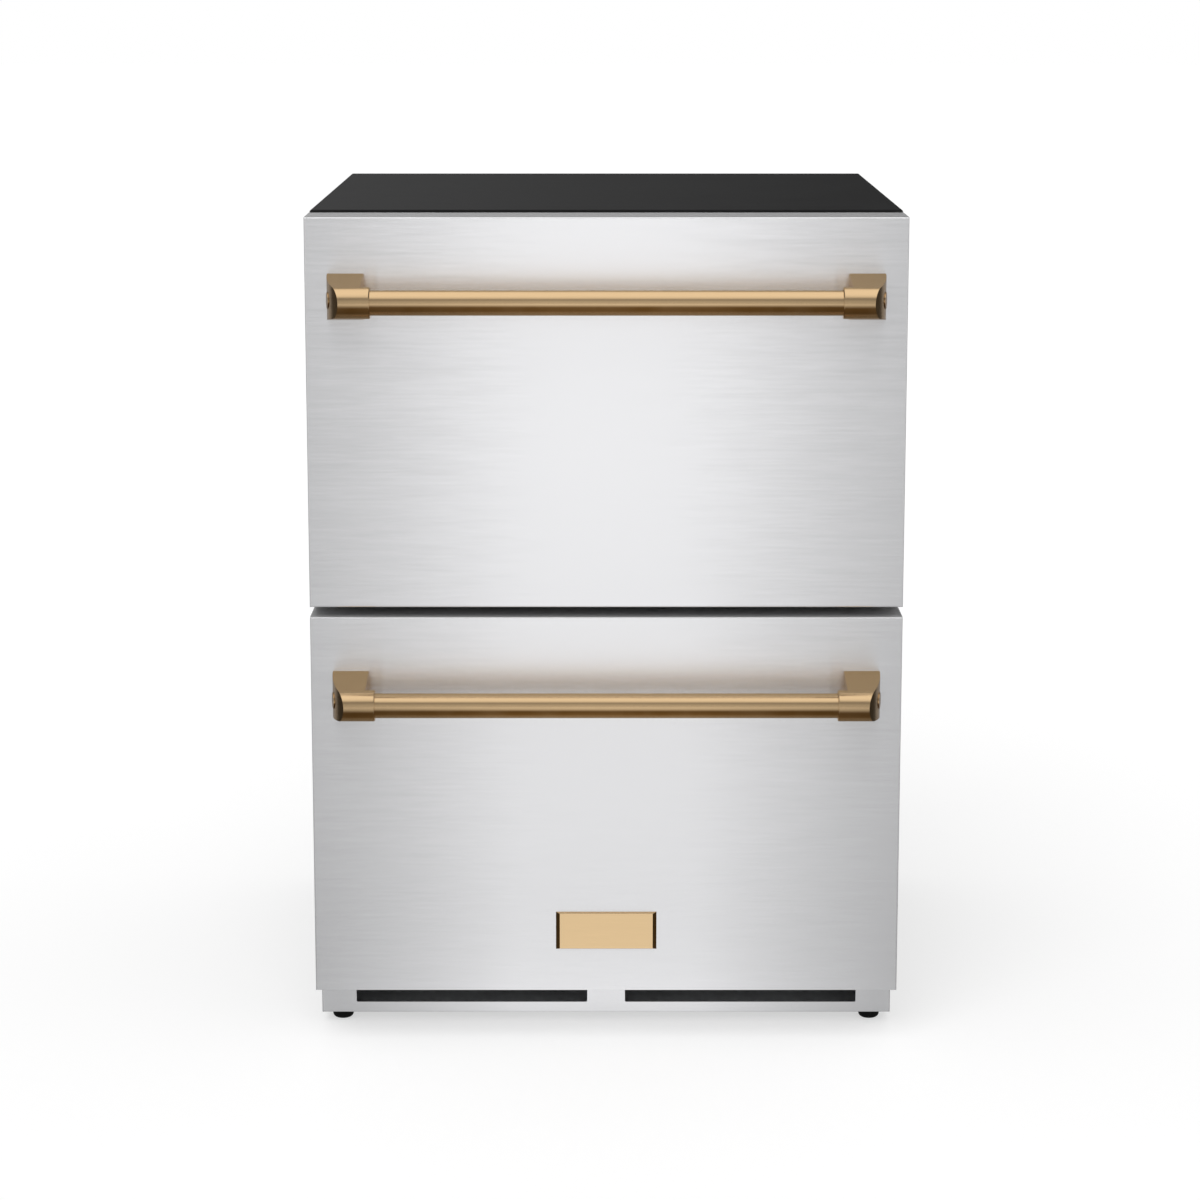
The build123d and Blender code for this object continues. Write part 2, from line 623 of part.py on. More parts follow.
# Plinth with its two air slots, a folded bottom edge and a face that covers the wrap's sides
PLINTH_Y = CABINET_Y + PLINTH_SETBACK
PLINTH_TOP = UNDERSIDE_HEIGHT - SEAM
with BuildPart() as plinth:
    with BuildSketch(Plane.YZ.offset(-PANEL_HALF)) as plinth_section:
        with BuildLine():
            Polyline(
                (PLINTH_Y, PLINTH_TOP),
                (PLINTH_Y, WRAP_BOTTOM),
                (PLINTH_Y + PLINTH_RETURN, WRAP_BOTTOM),
                (PLINTH_Y + PLINTH_RETURN, PAN_FLOOR - SEAM),
                (PLINTH_Y + PLINTH_SHEET, PAN_FLOOR - SEAM),
                (PLINTH_Y + PLINTH_SHEET, PLINTH_TOP),
                close=True,
            )
        make_face()
        fillet(plinth_section.vertices().sort_by(Axis.X)[:2].sort_by(Axis.Y)[0], PLINTH_SHEET)
    extrude(amount=2 * PANEL_HALF)
    with BuildSketch(across(PLINTH_Y)):
        face_half = WIDTH / 2 - PLINTH_END_GAP
        span(-face_half, face_half, WRAP_BOTTOM + PLINTH_SHEET, PLINTH_TOP)
    extrude(amount=-PLINTH_SHEET)
    with BuildSketch(across(PLINTH_Y)):
        for side in (-1, 1):
            slot_centre = side * (SLOT_INNER_X + SLOT_OUTER_X) / 2
            with Locations((slot_centre, SLOT_BOTTOM + SLOT_HEIGHT / 2)):
                RectangleRounded(SLOT_OUTER_X - SLOT_INNER_X, SLOT_HEIGHT, SLOT_CORNER)
        with Locations(*plinth_screw_places):
            Circle(SCREW_SHANK / 2 + SEAM)
    extrude(amount=-PLINTH_SHEET, mode=Mode.SUBTRACT)
plinth.part.label = "plinth"
export_step(plinth.part, "parts/plinth.step")

# Pan-head screws of the plinth, the rear panel and the rear cover
screw_rows = [(plinth_screw_places, PLINTH_Y, -1), (rear_screw_places, REAR_PANEL_Y + SHEET, 1)]
with BuildPart() as panel_screws:
    for places, seat_y, outward in screw_rows:
        with BuildSketch(across(seat_y)):
            with Locations(*places):
                Circle(SCREW_HEAD / 2)
        extrude(amount=-outward * SCREW_HEAD_HEIGHT)
        with BuildSketch(across(seat_y)):
            with Locations(*places):
                Circle(SCREW_SHANK / 2)
        extrude(amount=outward * SCREW_LENGTH)
panel_screws.part.label = "panel_screws"
export_step(panel_screws.part, "parts/panel_screws.step")

# Levelling feet: a glide with a rounded edge, a hexagon for the spanner and a stud up through the boss
for end, foot_y in FOOT_Y.items():
    for side_name, side in (("left", -1), ("right", 1)):
        with BuildPart() as foot:
            with BuildSketch(Plane.XY):
                with Locations((side * FOOT_X, foot_y)):
                    Circle(FOOT_DIAMETER / 2)
            extrude(amount=FOOT_HEIGHT - FOOT_HEX_HEIGHT)
            fillet(foot.edges().group_by(Axis.Z)[0], FOOT_ROUNDING)
            with BuildSketch(Plane.XY.offset(FOOT_HEIGHT - FOOT_HEX_HEIGHT)):
                with Locations((side * FOOT_X, foot_y)):
                    RegularPolygon(FOOT_HEX_DIAMETER / 2, 6)
            extrude(amount=FOOT_HEX_HEIGHT)
            with BuildSketch(Plane.XY.offset(FOOT_HEIGHT)):
                with Locations((side * FOOT_X, foot_y)):
                    Circle(STUD_DIAMETER / 2)
            extrude(amount=STUD_LENGTH)
        foot.part.label = f"foot_{end}_{side_name}"
        export_step(foot.part, f"parts/foot_{end}_{side_name}.step")

# Compressor shell with its weld seam, foot plate, terminal cover and pipe stubs
SHELL_BOTTOM = PAN_TOP + GROMMET_HEIGHT + COMPRESSOR_PLATE
SHELL_TOP = SHELL_BOTTOM + COMPRESSOR_HEIGHT
STUB_RADIUS = PIPE_DIAMETER / 2 + STUB_WALL
DISCHARGE_Y = COMPRESSOR_Y - STUB_SPREAD
DISCHARGE_Z = SHELL_BOTTOM + DISCHARGE_RISE
SUCTION_Y = COMPRESSOR_Y + STUB_SPREAD
SUCTION_Z = SHELL_BOTTOM + SUCTION_RISE
with BuildPart() as compressor:
    with BuildSketch(Plane.XZ):
        with BuildLine():
            crown_edge = COMPRESSOR_RADIUS - SHOULDER
            crown_radius = (crown_edge**2 + CROWN**2) / (2 * CROWN)
            crown_middle = SHELL_TOP - crown_radius + sqrt(crown_radius**2 - (crown_edge / 2) ** 2)
            low_bend = (COMPRESSOR_RADIUS, SHELL_BOTTOM + SHELL_FOOT)
            high_bend = (COMPRESSOR_RADIUS, SHELL_TOP - CROWN - SHOULDER)
            crown_start = (crown_edge, SHELL_TOP - CROWN)
            Line((0, SHELL_BOTTOM), (COMPRESSOR_RADIUS - SHELL_FOOT, SHELL_BOTTOM))
            TangentArc((COMPRESSOR_RADIUS - SHELL_FOOT, SHELL_BOTTOM), low_bend, tangent=(1, 0))
            Line(low_bend, high_bend)
            TangentArc(high_bend, crown_start, tangent=(0, 1))
            ThreePointArc(crown_start, (crown_edge / 2, crown_middle), (0, SHELL_TOP))
            Line((0, SHELL_TOP), (0, SHELL_BOTTOM))
        make_face()
        with Locations((COMPRESSOR_RADIUS, SHELL_BOTTOM + SEAM_RIDGE_RISE)):
            Rectangle(2 * SEAM_RIDGE, SEAM_RIDGE_HEIGHT)
    revolve(axis=Axis.Z)
compressor_shell = Pos(COMPRESSOR_X, COMPRESSOR_Y, 0) * compressor.part
bolt_places = [
    (COMPRESSOR_X + sx * COMPRESSOR_BOLT_X, COMPRESSOR_Y + sy * COMPRESSOR_BOLT_Y)
    for sx in (-1, 1)
    for sy in (-1, 1)
]
with BuildPart() as compressor_body:
    add(compressor_shell)
    with BuildSketch(Plane.XY.offset(SHELL_BOTTOM - COMPRESSOR_PLATE)):
        with Locations((COMPRESSOR_X, COMPRESSOR_Y)):
            plate_width = 2 * COMPRESSOR_BOLT_X + GROMMET_DIAMETER
            plate_depth = 2 * COMPRESSOR_BOLT_Y + GROMMET_DIAMETER
            RectangleRounded(plate_width, plate_depth, COMPRESSOR_PLATE_CORNER)
        with Locations(*bolt_places):
            Circle(GROMMET_NECK / 2 + SEAM / 2, mode=Mode.SUBTRACT)
    extrude(amount=COMPRESSOR_PLATE)
    with BuildSketch(Plane.YZ.offset(COMPRESSOR_X)):
        with Locations((DISCHARGE_Y, DISCHARGE_Z), (SUCTION_Y, SUCTION_Z)):
            Circle(STUB_RADIUS)
    extrude(amount=COMPRESSOR_RADIUS + STUB_LENGTH)
    with BuildSketch(across(COMPRESSOR_Y)):
        with Locations((COMPRESSOR_X, SHELL_BOTTOM + TERMINAL_RISE)):
            RectangleRounded(TERMINAL_WIDTH, TERMINAL_HEIGHT, TERMINAL_CORNER)
    extrude(amount=COMPRESSOR_RADIUS + TERMINAL_DEPTH)
compressor_body.part.label = "compressor"
export_step(compressor_body.part, "parts/compressor.step")

# Rubber mounts between the base pan and the compressor's foot plate
with BuildPart() as compressor_grommets:
    with BuildSketch(Plane.XY.offset(PAN_TOP)):
        with Locations(*bolt_places):
            Circle(GROMMET_DIAMETER / 2)
    extrude(amount=GROMMET_HEIGHT)
    with BuildSketch(Plane.XY.offset(PAN_TOP + GROMMET_HEIGHT)):
        with Locations(*bolt_places):
            Circle(GROMMET_NECK / 2)
    extrude(amount=COMPRESSOR_PLATE)
    with BuildSketch(Plane.XY.offset(SHELL_BOTTOM)):
        with Locations(*bolt_places):
            Circle(GROMMET_BUTTON / 2)
    extrude(amount=GROMMET_BUTTON_HEIGHT)
compressor_grommets.part.label = "compressor_grommets"
export_step(compressor_grommets.part, "parts/compressor_grommets.step")

# Tray on the compressor where defrost water dries off
TRAY_Z = SHELL_TOP + SEAM
with BuildPart() as drain_tray:
    with BuildSketch(Plane.XY.offset(TRAY_Z)):
        with Locations((COMPRESSOR_X, COMPRESSOR_Y)):
            RectangleRounded(TRAY_WIDTH, TRAY_DEPTH, TRAY_CORNER)
    extrude(amount=TRAY_HEIGHT)
    with BuildSketch(Plane.XY.offset(TRAY_Z + TRAY_WALL)):
        with Locations((COMPRESSOR_X, COMPRESSOR_Y)):
            inside = 2 * TRAY_WALL
            RectangleRounded(TRAY_WIDTH - inside, TRAY_DEPTH - inside, TRAY_CORNER - TRAY_WALL)
    extrude(amount=TRAY_HEIGHT, mode=Mode.SUBTRACT)
drain_tray.part.label = "drain_tray"
export_step(drain_tray.part, "parts/drain_tray.step")

# Drain tube from the floor of the evaporator space down into the tray
with BuildPart() as drain_tube:
    drain_foot = TRAY_Z + TRAY_WALL + DRAIN_MOUTH_GAP
    with BuildSketch(Plane.XY.offset(drain_foot)):
        with Locations((DRAIN_X, DRAIN_Y)):
            Circle(DRAIN_DIAMETER / 2)
    extrude(amount=HUMP_TOP - drain_foot)
    with BuildSketch(Plane.XY.offset(HUMP_TOP)):
        with Locations((DRAIN_X, DRAIN_Y)):
            Circle(DRAIN_DIAMETER / 2 + DRAIN_BRIM)
    extrude(amount=LINER_WALL)
    with BuildSketch(Plane.XY.offset(drain_foot)):
        with Locations((DRAIN_X, DRAIN_Y)):
            Circle(DRAIN_DIAMETER / 2 - DRAIN_WALL)
    extrude(amount=HUMP_TOP + LINER_WALL - drain_foot, mode=Mode.SUBTRACT)
drain_tube.part.label = "drain_tube"
export_step(drain_tube.part, "parts/drain_tube.step")


def finned_coil(width, depth, height, fins):
    """Fin pack centred on the origin, its fins across X, with tubes along X joined by bends."""
    tube_end = width / 2 + COIL_END
    pitch = height / COIL_ROWS
    tube_z = [(i - (COIL_ROWS - 1) / 2) * pitch for i in range(COIL_ROWS)]
    with BuildPart() as coil:
        with GridLocations(width / (fins - 1), 1, fins, 1):
            Box(FIN_SHEET, depth, height)
        with BuildSketch(Plane.YZ.offset(-tube_end)):
            with Locations(*[(0, z) for z in tube_z]):
                Circle(PIPE_DIAMETER / 2)
        extrude(amount=2 * tube_end)
        for i in range(COIL_ROWS - 1):
            end = 1 if i % 2 == 0 else -1
            with BuildSketch(Plane.YZ.offset(end * tube_end)):
                with Locations((0, tube_z[i])):
                    Circle(PIPE_DIAMETER / 2)
            bend_axis = Axis((end * tube_end, 0, (tube_z[i] + tube_z[i + 1]) / 2), (0, -end, 0))
            revolve(axis=bend_axis, revolution_arc=180)
    return coil.part


# Condenser beside the warm fan; the air crosses it from side to side
CONDENSER_Z = PAN_TOP + CONDENSER_HEIGHT / 2
FIN_PACK_WIDTH = CONDENSER_DEPTH - 2 * COIL_END - PIPE_DIAMETER - CONDENSER_HEIGHT / COIL_ROWS / 2
condenser = finned_coil(FIN_PACK_WIDTH, CONDENSER_THICKNESS, CONDENSER_HEIGHT, CONDENSER_FINS)
condenser = Pos(CONDENSER_X, COMPRESSOR_Y, CONDENSER_Z) * Rot(0, 0, 90) * condenser
condenser.label = "condenser"
export_step(condenser, "parts/condenser.step")

# Fan shroud: a plate with a ring, standing on the base pan between condenser and compressor
SHROUD_X = CONDENSER_X - CONDENSER_THICKNESS / 2 - SEAM - SHROUD_THICKNESS
SHROUD_RING = WARM_FAN_DIAMETER / 2 + FAN_TIP_GAP
with BuildPart() as fan_shroud:
    with BuildSketch(Plane.YZ.offset(SHROUD_X + SHROUD_THICKNESS - SHROUD_SHEET)):
        with Locations((COMPRESSOR_Y, CONDENSER_Z)):
            Rectangle(CONDENSER_DEPTH, CONDENSER_HEIGHT)
            Circle(SHROUD_RING, mode=Mode.SUBTRACT)
    extrude(amount=SHROUD_SHEET)
    with BuildSketch(Plane.YZ.offset(SHROUD_X)):
        with Locations((COMPRESSOR_Y, CONDENSER_Z)):
            Circle(SHROUD_RING + SHROUD_SHEET)
            Circle(SHROUD_RING, mode=Mode.SUBTRACT)
    extrude(amount=SHROUD_THICKNESS)
fan_shroud.part.label = "condenser_fan_shroud"
export_step(fan_shroud.part, "parts/condenser_fan_shroud.step")


def fan_wheel(diameter):
    """Axial fan about Z from z = 0 to FAN_DEPTH, with twisted blades and a bored hub."""
    blade_root = FAN_HUB_DIAMETER / 2 - BLADE_THICKNESS
    with BuildPart() as wheel:
        Cylinder(FAN_HUB_DIAMETER / 2, FAN_DEPTH, align=(Align.CENTER, Align.CENTER, Align.MIN))
        fillet(wheel.edges().group_by(Axis.Z)[-1], FAN_HUB_EDGE)
        for i in range(FAN_BLADES):
            turned = Plane.YZ.rotated((0, 0, i * 360 / FAN_BLADES))
            with BuildSketch(turned.offset(blade_root)) as root_section:
                with Locations((0, FAN_DEPTH / 2)):
                    Rectangle(BLADE_ROOT_CHORD, BLADE_THICKNESS, rotation=BLADE_ROOT_PITCH)
            with BuildSketch(turned.offset(diameter / 2)) as tip_section:
                with Locations((0, FAN_DEPTH / 2)):
                    Rectangle(diameter * BLADE_TIP_SHARE, BLADE_THICKNESS, rotation=BLADE_TIP_PITCH)
            loft(sections=[root_section.sketch, tip_section.sketch], ruled=True)
        Cylinder(diameter / 2, 3 * FAN_DEPTH, mode=Mode.INTERSECT)
        Cylinder(
            SHAFT_DIAMETER / 2 + SHAFT_CLEARANCE,
            FAN_DEPTH - HUB_CAP,
            align=(Align.CENTER, Align.CENTER, Align.MIN),
            mode=Mode.SUBTRACT,
        )
    return wheel.part


def fan_motor(bracket_span):
    """Shaded-pole motor about Z below z = 0, its shaft up into the fan, on a flat two-arm bracket."""
    with BuildPart() as motor:
        with BuildSketch(Plane.XY.offset(-FAN_CLEAR - MOTOR_LENGTH)):
            Circle(MOTOR_DIAMETER / 2)
        extrude(amount=MOTOR_LENGTH)
        fillet(motor.edges().group_by(Axis.Z)[0], MOTOR_EDGE)
        with BuildSketch(Plane.XY.offset(-FAN_CLEAR - BRACKET_DROP)):
            SlotOverall(bracket_span, BRACKET_WIDTH)
        extrude(amount=-BRACKET_SHEET)
        with BuildSketch(Plane.XY.offset(-FAN_CLEAR)):
            Circle(SHAFT_DIAMETER / 2)
        extrude(amount=FAN_CLEAR + FAN_DEPTH - HUB_CAP - SHAFT_END_GAP)
    return motor.part


# Warm fan in the shroud, turning about X; its motor's bracket lies on the ring's edge
FAN_X = SHROUD_X + FAN_CLEAR + BRACKET_DROP
warm_place = Pos(FAN_X, COMPRESSOR_Y, CONDENSER_Z) * Rot(0, 90, 0)
condenser_fan = warm_place * fan_wheel(WARM_FAN_DIAMETER)
condenser_fan.label = "condenser_fan"
export_step(condenser_fan, "parts/condenser_fan.step")

condenser_fan_motor = warm_place * fan_motor(2 * (SHROUD_RING + BRACKET_OVERLAP))
condenser_fan_motor.label = "condenser_fan_motor"
export_step(condenser_fan_motor, "parts/condenser_fan_motor.step")

# Cover of the evaporator space: outlets above, fan grille in the middle, return slots below
DUCT_TOP = CAVITY_CEILING - SEAM
DUCT_LOW = HUMP_TOP + SEAM
DUCT_WIDTH = 2 * (CAVITY_HALF - SEAM)
with BuildPart() as evaporator_cover:
    with BuildSketch(across(DUCT_Y)):
        with Locations((0, (DUCT_LOW + DUCT_TOP) / 2)):
            RectangleRounded(DUCT_WIDTH, DUCT_TOP - DUCT_LOW, LINER_CORNER)
    extrude(amount=-DUCT_FLANGE)
    with BuildSketch(across(DUCT_Y + DUCT_SHEET)):
        with Locations((0, (DUCT_LOW + DUCT_TOP) / 2)):
            inside = 2 * DUCT_SHEET
            RectangleRounded(DUCT_WIDTH - inside, DUCT_TOP - DUCT_LOW - inside, LINER_CORNER - DUCT_SHEET)
    extrude(amount=-DUCT_FLANGE, mode=Mode.SUBTRACT)
    with BuildSketch(across(DUCT_Y)):
        for z in (CAVITY_CEILING - UPPER_OUTLET_DROP, COLD_FAN_HEIGHT - LOWER_OUTLET_DROP):
            with Locations((0, z)):
                with GridLocations(OUTLET_PITCH, 1, OUTLET_COUNT, 1):
                    SlotOverall(OUTLET_WIDTH, OUTLET_HEIGHT)
        with Locations((0, HUMP_TOP + RETURN_RISE)):
            with GridLocations(RETURN_PITCH, 1, RETURN_COUNT, 1):
                SlotOverall(RETURN_SLOT_LENGTH, RETURN_SLOT_WIDTH, rotation=90)
        with Locations((0, COLD_FAN_HEIGHT)):
            with PolarLocations(COLD_FAN_DIAMETER / 3, GRILLE_SLOTS):
                SlotOverall(GRILLE_SLOT_LENGTH, GRILLE_SLOT_WIDTH)
    extrude(amount=-DUCT_SHEET, mode=Mode.SUBTRACT)
evaporator_cover.part.label = "evaporator_cover"
export_step(evaporator_cover.part, "parts/evaporator_cover.step")

# Evaporator on two end plates that stand against the rear of the liner
EVAPORATOR_Z = HUMP_TOP + EVAPORATOR_RISE + EVAPORATOR_HEIGHT / 2
EVAPORATOR_Y = CAVITY_REAR - EVAPORATOR_DEPTH / 2 - EVAPORATOR_REAR_GAP
cold_coil = finned_coil(EVAPORATOR_WIDTH, EVAPORATOR_DEPTH, EVAPORATOR_HEIGHT, EVAPORATOR_FINS)
with BuildPart() as evaporator:
    add(Pos(0, EVAPORATOR_Y, EVAPORATOR_Z) * cold_coil)
    for side in (-1, 1):
        plate_x = side * (EVAPORATOR_WIDTH / 2 + END_PLATE_GAP + END_PLATE / 2)
        with Locations((plate_x, CAVITY_REAR - SEAM, EVAPORATOR_Z)):
            plate_depth = EVAPORATOR_DEPTH + EVAPORATOR_REAR_GAP
            Box(END_PLATE, plate_depth, EVAPORATOR_HEIGHT, align=(Align.CENTER, Align.MAX, Align.CENTER))
evaporator.part.label = "evaporator"
export_step(evaporator.part, "parts/evaporator.step")

# Cold fan behind its grille, its motor on two posts that stand on the cover
COLD_FAN_Y = DUCT_Y + DUCT_SHEET + COLD_FAN_SETBACK
cold_place = Pos(0, COLD_FAN_Y + FAN_DEPTH, COLD_FAN_HEIGHT) * Rot(90, 0, 0)
evaporator_fan = cold_place * fan_wheel(COLD_FAN_DIAMETER)
evaporator_fan.label = "evaporator_fan"
export_step(evaporator_fan, "parts/evaporator_fan.step")

COLD_BRACKET = COLD_FAN_DIAMETER + 2 * COLD_BRACKET_REACH
cold_post_x = COLD_BRACKET / 2 - COLD_POST_INSET
with BuildPart() as cold_motor:
    add(fan_motor(COLD_BRACKET))
    with BuildSketch(Plane.XY.offset(-FAN_CLEAR - BRACKET_DROP)):
        with Locations((-cold_post_x, 0), (cold_post_x, 0)):
            Circle(COLD_POST_DIAMETER / 2)
    extrude(amount=FAN_CLEAR + BRACKET_DROP + FAN_DEPTH + COLD_FAN_SETBACK)
evaporator_fan_motor = cold_place * cold_motor.part
evaporator_fan_motor.label = "evaporator_fan_motor"
export_step(evaporator_fan_motor, "parts/evaporator_fan_motor.step")

# Filter drier: a copper shell drawn down to the pipe at both ends
DRIER_X = CONDENSER_X + CONDENSER_THICKNESS / 2 + DRIER_OFFSET
DRIER_Y = COMPRESSOR_Y - DRIER_FORWARD
DRIER_LOW = PAN_TOP + DRIER_RISE
DRIER_HIGH = DRIER_LOW + DRIER_LENGTH
PIPE_RADIUS = PIPE_DIAMETER / 2
with BuildPart() as drier:
    with BuildSketch(Plane.XZ):
        collar_radius = PIPE_RADIUS + 1
        shell_low = DRIER_LOW + DRIER_COLLAR + DRIER_CONE
        shell_high = DRIER_HIGH - DRIER_COLLAR - DRIER_CONE
        Polygon(
            (0, DRIER_LOW),
            (collar_radius, DRIER_LOW),
            (collar_radius, DRIER_LOW + DRIER_COLLAR),
            (DRIER_DIAMETER / 2, shell_low),
            (DRIER_DIAMETER / 2, shell_high),
            (collar_radius, DRIER_HIGH - DRIER_COLLAR),
            (collar_radius, DRIER_HIGH),
            (0, DRIER_HIGH),
            align=None,
        )
    revolve(axis=Axis.Z)
filter_drier = Pos(DRIER_X, DRIER_Y, 0) * drier.part


def pipe_run(points, radius):
    """Round pipe along straight runs with tangent bends."""
    with BuildPart() as pipe:
        with BuildLine() as route:
            FilletPolyline(*points, radius=radius)
        with BuildSketch(Plane(origin=route.line @ 0, z_dir=route.line % 0)):
            Circle(PIPE_RADIUS)
        sweep(path=route.line)
    return pipe.part


# Refrigerant pipes: discharge, suction, condenser outlet, the drier and the line up from it
tube_reach = CONDENSER_HEIGHT / 2 - CONDENSER_HEIGHT / COIL_ROWS / 2
CONDENSER_TOP_TUBE = CONDENSER_Z + tube_reach
CONDENSER_LOW_TUBE = CONDENSER_Z - tube_reach
stub_end = COMPRESSOR_X + COMPRESSOR_RADIUS + STUB_LENGTH
discharge_x = stub_end + DISCHARGE_REACH
suction_x = stub_end + SUCTION_REACH
over_z = MACHINE_TOP - PIPE_WALL_GAP
coil_end_y = COMPRESSOR_Y - FIN_PACK_WIDTH / 2 - COIL_END
header_y = MACHINE_Y + PIPE_WALL_GAP
riser_x = DRIER_X + DRIER_OFFSET
discharge = pipe_run(
    [
        (stub_end, DISCHARGE_Y, DISCHARGE_Z),
        (discharge_x, DISCHARGE_Y, DISCHARGE_Z),
        (discharge_x, DISCHARGE_Y, over_z),
        (discharge_x, header_y, over_z),
        (CONDENSER_X, header_y, over_z),
        (CONDENSER_X, header_y, CONDENSER_TOP_TUBE),
        (CONDENSER_X, coil_end_y, CONDENSER_TOP_TUBE),
    ],
    PIPE_BEND,
)
suction = pipe_run(
    [
        (stub_end, SUCTION_Y, SUCTION_Z),
        (suction_x, SUCTION_Y, SUCTION_Z),
        (suction_x, SUCTION_Y, MACHINE_TOP),
    ],
    PIPE_BEND,
)
outlet = pipe_run(
    [
        (CONDENSER_X, coil_end_y, CONDENSER_LOW_TUBE),
        (CONDENSER_X, header_y, CONDENSER_LOW_TUBE),
        (DRIER_X, header_y, CONDENSER_LOW_TUBE),
        (DRIER_X, DRIER_Y, CONDENSER_LOW_TUBE),
        (DRIER_X, DRIER_Y, DRIER_LOW),
    ],
    TIGHT_PIPE_BEND,
)
riser = pipe_run(
    [
        (DRIER_X, DRIER_Y, DRIER_HIGH),
        (DRIER_X, DRIER_Y, over_z),
        (riser_x, DRIER_Y, over_z),
        (riser_x, DRIER_Y, MACHINE_TOP),
    ],
    TIGHT_PIPE_BEND,
)
refrigerant_pipes = Compound(children=[discharge, suction, outlet, filter_drier, riser])
refrigerant_pipes.label = "refrigerant_pipes"
export_step(refrigerant_pipes, "parts/refrigerant_pipes.step")

# Housing of the control electronics, on the base pan beside the condenser
with BuildPart() as control_box:
    with BuildSketch(Plane.XY.offset(PAN_TOP + SEAM)):
        with Locations((PANEL_HALF - PAN_SHEET - SEAM, COMPRESSOR_Y + BOX_REARWARD)):
            Rectangle(BOX_WIDTH, BOX_DEPTH, align=(Align.MAX, Align.CENTER))
    extrude(amount=BOX_HEIGHT)
    fillet(control_box.edges().group_by(Axis.Z)[-1], BOX_EDGE)
control_box.part.label = "control_box"
export_step(control_box.part, "parts/control_box.step")

# Display under the ceiling, behind the upper front, with a face that leans to the user
DISPLAY_Y = FRAME_Y + DISPLAY_GAP
with BuildPart() as control_display:
    with BuildSketch(Plane.YZ.offset(-DISPLAY_WIDTH / 2)):
        Polygon(
            (DISPLAY_Y, CAVITY_CEILING - SEAM),
            (DISPLAY_Y + DISPLAY_LEAN, CAVITY_CEILING - DISPLAY_HEIGHT),
            (DISPLAY_Y + DISPLAY_DEPTH - DISPLAY_TAIL, CAVITY_CEILING - DISPLAY_HEIGHT),
            (DISPLAY_Y + DISPLAY_DEPTH, CAVITY_CEILING - SEAM),
            align=None,
        )
    extrude(amount=DISPLAY_WIDTH)
control_display.part.label = "control_display"
export_step(control_display.part, "parts/control_display.step")

# Light strip on the ceiling
with BuildPart() as light_strip:
    with BuildSketch(Plane.YZ.offset(-LIGHT_WIDTH / 2)):
        with Locations((DISPLAY_Y + LIGHT_SETBACK, CAVITY_CEILING - SEAM)):
            Trapezoid(LIGHT_DEPTH, LIGHT_HEIGHT, LIGHT_SLOPE, rotation=180, align=(Align.CENTER, Align.MIN))
    extrude(amount=LIGHT_WIDTH)
light_strip.part.label = "light_strip"
export_step(light_strip.part, "parts/light_strip.step")


def channel(web_u, lip_u, half_height, slide_z):
    """C section at the right-hand wall, from its web to its lips; u counts inwards from the liner."""
    low_u = min(web_u, lip_u)
    high_u = max(web_u, lip_u)
    cut_low = low_u + SLIDE_SHEET if web_u < lip_u else low_u
    cut_high = high_u if web_u < lip_u else high_u - SLIDE_SHEET
    span(CAVITY_HALF - high_u, CAVITY_HALF - low_u, slide_z - half_height, slide_z + half_height)
    inside = half_height - SLIDE_SHEET
    span(CAVITY_HALF - cut_high, CAVITY_HALF - cut_low, slide_z - inside, slide_z + inside, Mode.SUBTRACT)


def door_plateau(drawer, inset):
    """Tapered field in the middle of a drawer front's liner, inset by a wall on every side."""
    edge = PLATEAU_CLEARANCE + inset
    width = 2 * (CAVITY_HALF - edge)
    height = drawer["open_top"] - drawer["open_bottom"] - 2 * edge
    middle = (drawer["open_bottom"] + drawer["open_top"]) / 2
    with BuildPart() as plateau:
        with BuildSketch(across(FRONT_BACK_Y)):
            with Locations((0, middle)):
                RectangleRounded(width, height, LINER_CORNER)
        extrude(amount=-(PLATEAU_DEPTH - inset), taper=PLATEAU_TAPER)
        with BuildSketch(across(FRONT_BACK_Y)):
            with Locations((0, middle)):
                RectangleRounded(width, height, LINER_CORNER)
        extrude(amount=LINER_WALL)
    return plateau.part


def bin_form(levels, wall):
    """Stacked levels of a bin, drawn in by a wall on every side, with a rounded bottom edge."""
    with BuildPart() as form:
        for low, high, half, front, end in levels:
            with BuildSketch(Plane.XY.offset(low + wall)):
                with Locations((0, (front + end) / 2)):
                    RectangleRounded(2 * (half - wall), end - front - 2 * wall, BIN_CORNER - wall)
            extrude(amount=high - low)
        fillet(form.faces().sort_by(Axis.Z)[0].edges(), BIN_BOTTOM_RADIUS - wall)
    return form.part


def ring(middle_z, width, height, corner, wall):
    """Rounded rectangular ring in a sketch across the object."""
    with Locations((0, middle_z)):
        RectangleRounded(width, height, corner)
        RectangleRounded(width - 2 * wall, height - 2 * wall, corner / 2, mode=Mode.SUBTRACT)


SLIDE_HALF = SLIDE_HEIGHT / 2
MIDDLE_HALF = SLIDE_HALF - SLIDE_SHEET - SLIDE_PLAY
INNER_HALF = MIDDLE_HALF - SLIDE_SHEET - SLIDE_PLAY
RAIL_LIP = SLIDE_THICKNESS - RAIL_LIP_BACK
MIDDLE_LIP = SLIDE_THICKNESS - MIDDLE_LIP_BACK
INNER_LIP = 2 * (SLIDE_SHEET + SLIDE_PLAY) + INNER_LIP_GAP
SCREW_POST_X = (POST_INNER_X + POST_OUTER_X) / 2
CAP_ANGLE = degrees(asin(CAP_STANDOFF / END_ARC_RADIUS))
ARC_CENTRE_X = POST_OUTER_X - END_ARC_RADIUS
CAP_SEAT_X = ARC_CENTRE_X + END_ARC_RADIUS * cos(radians(CAP_ANGLE))
SCREW_HOLE = MOUNT_SCREW_DIAMETER / 2 + SEAM / 4

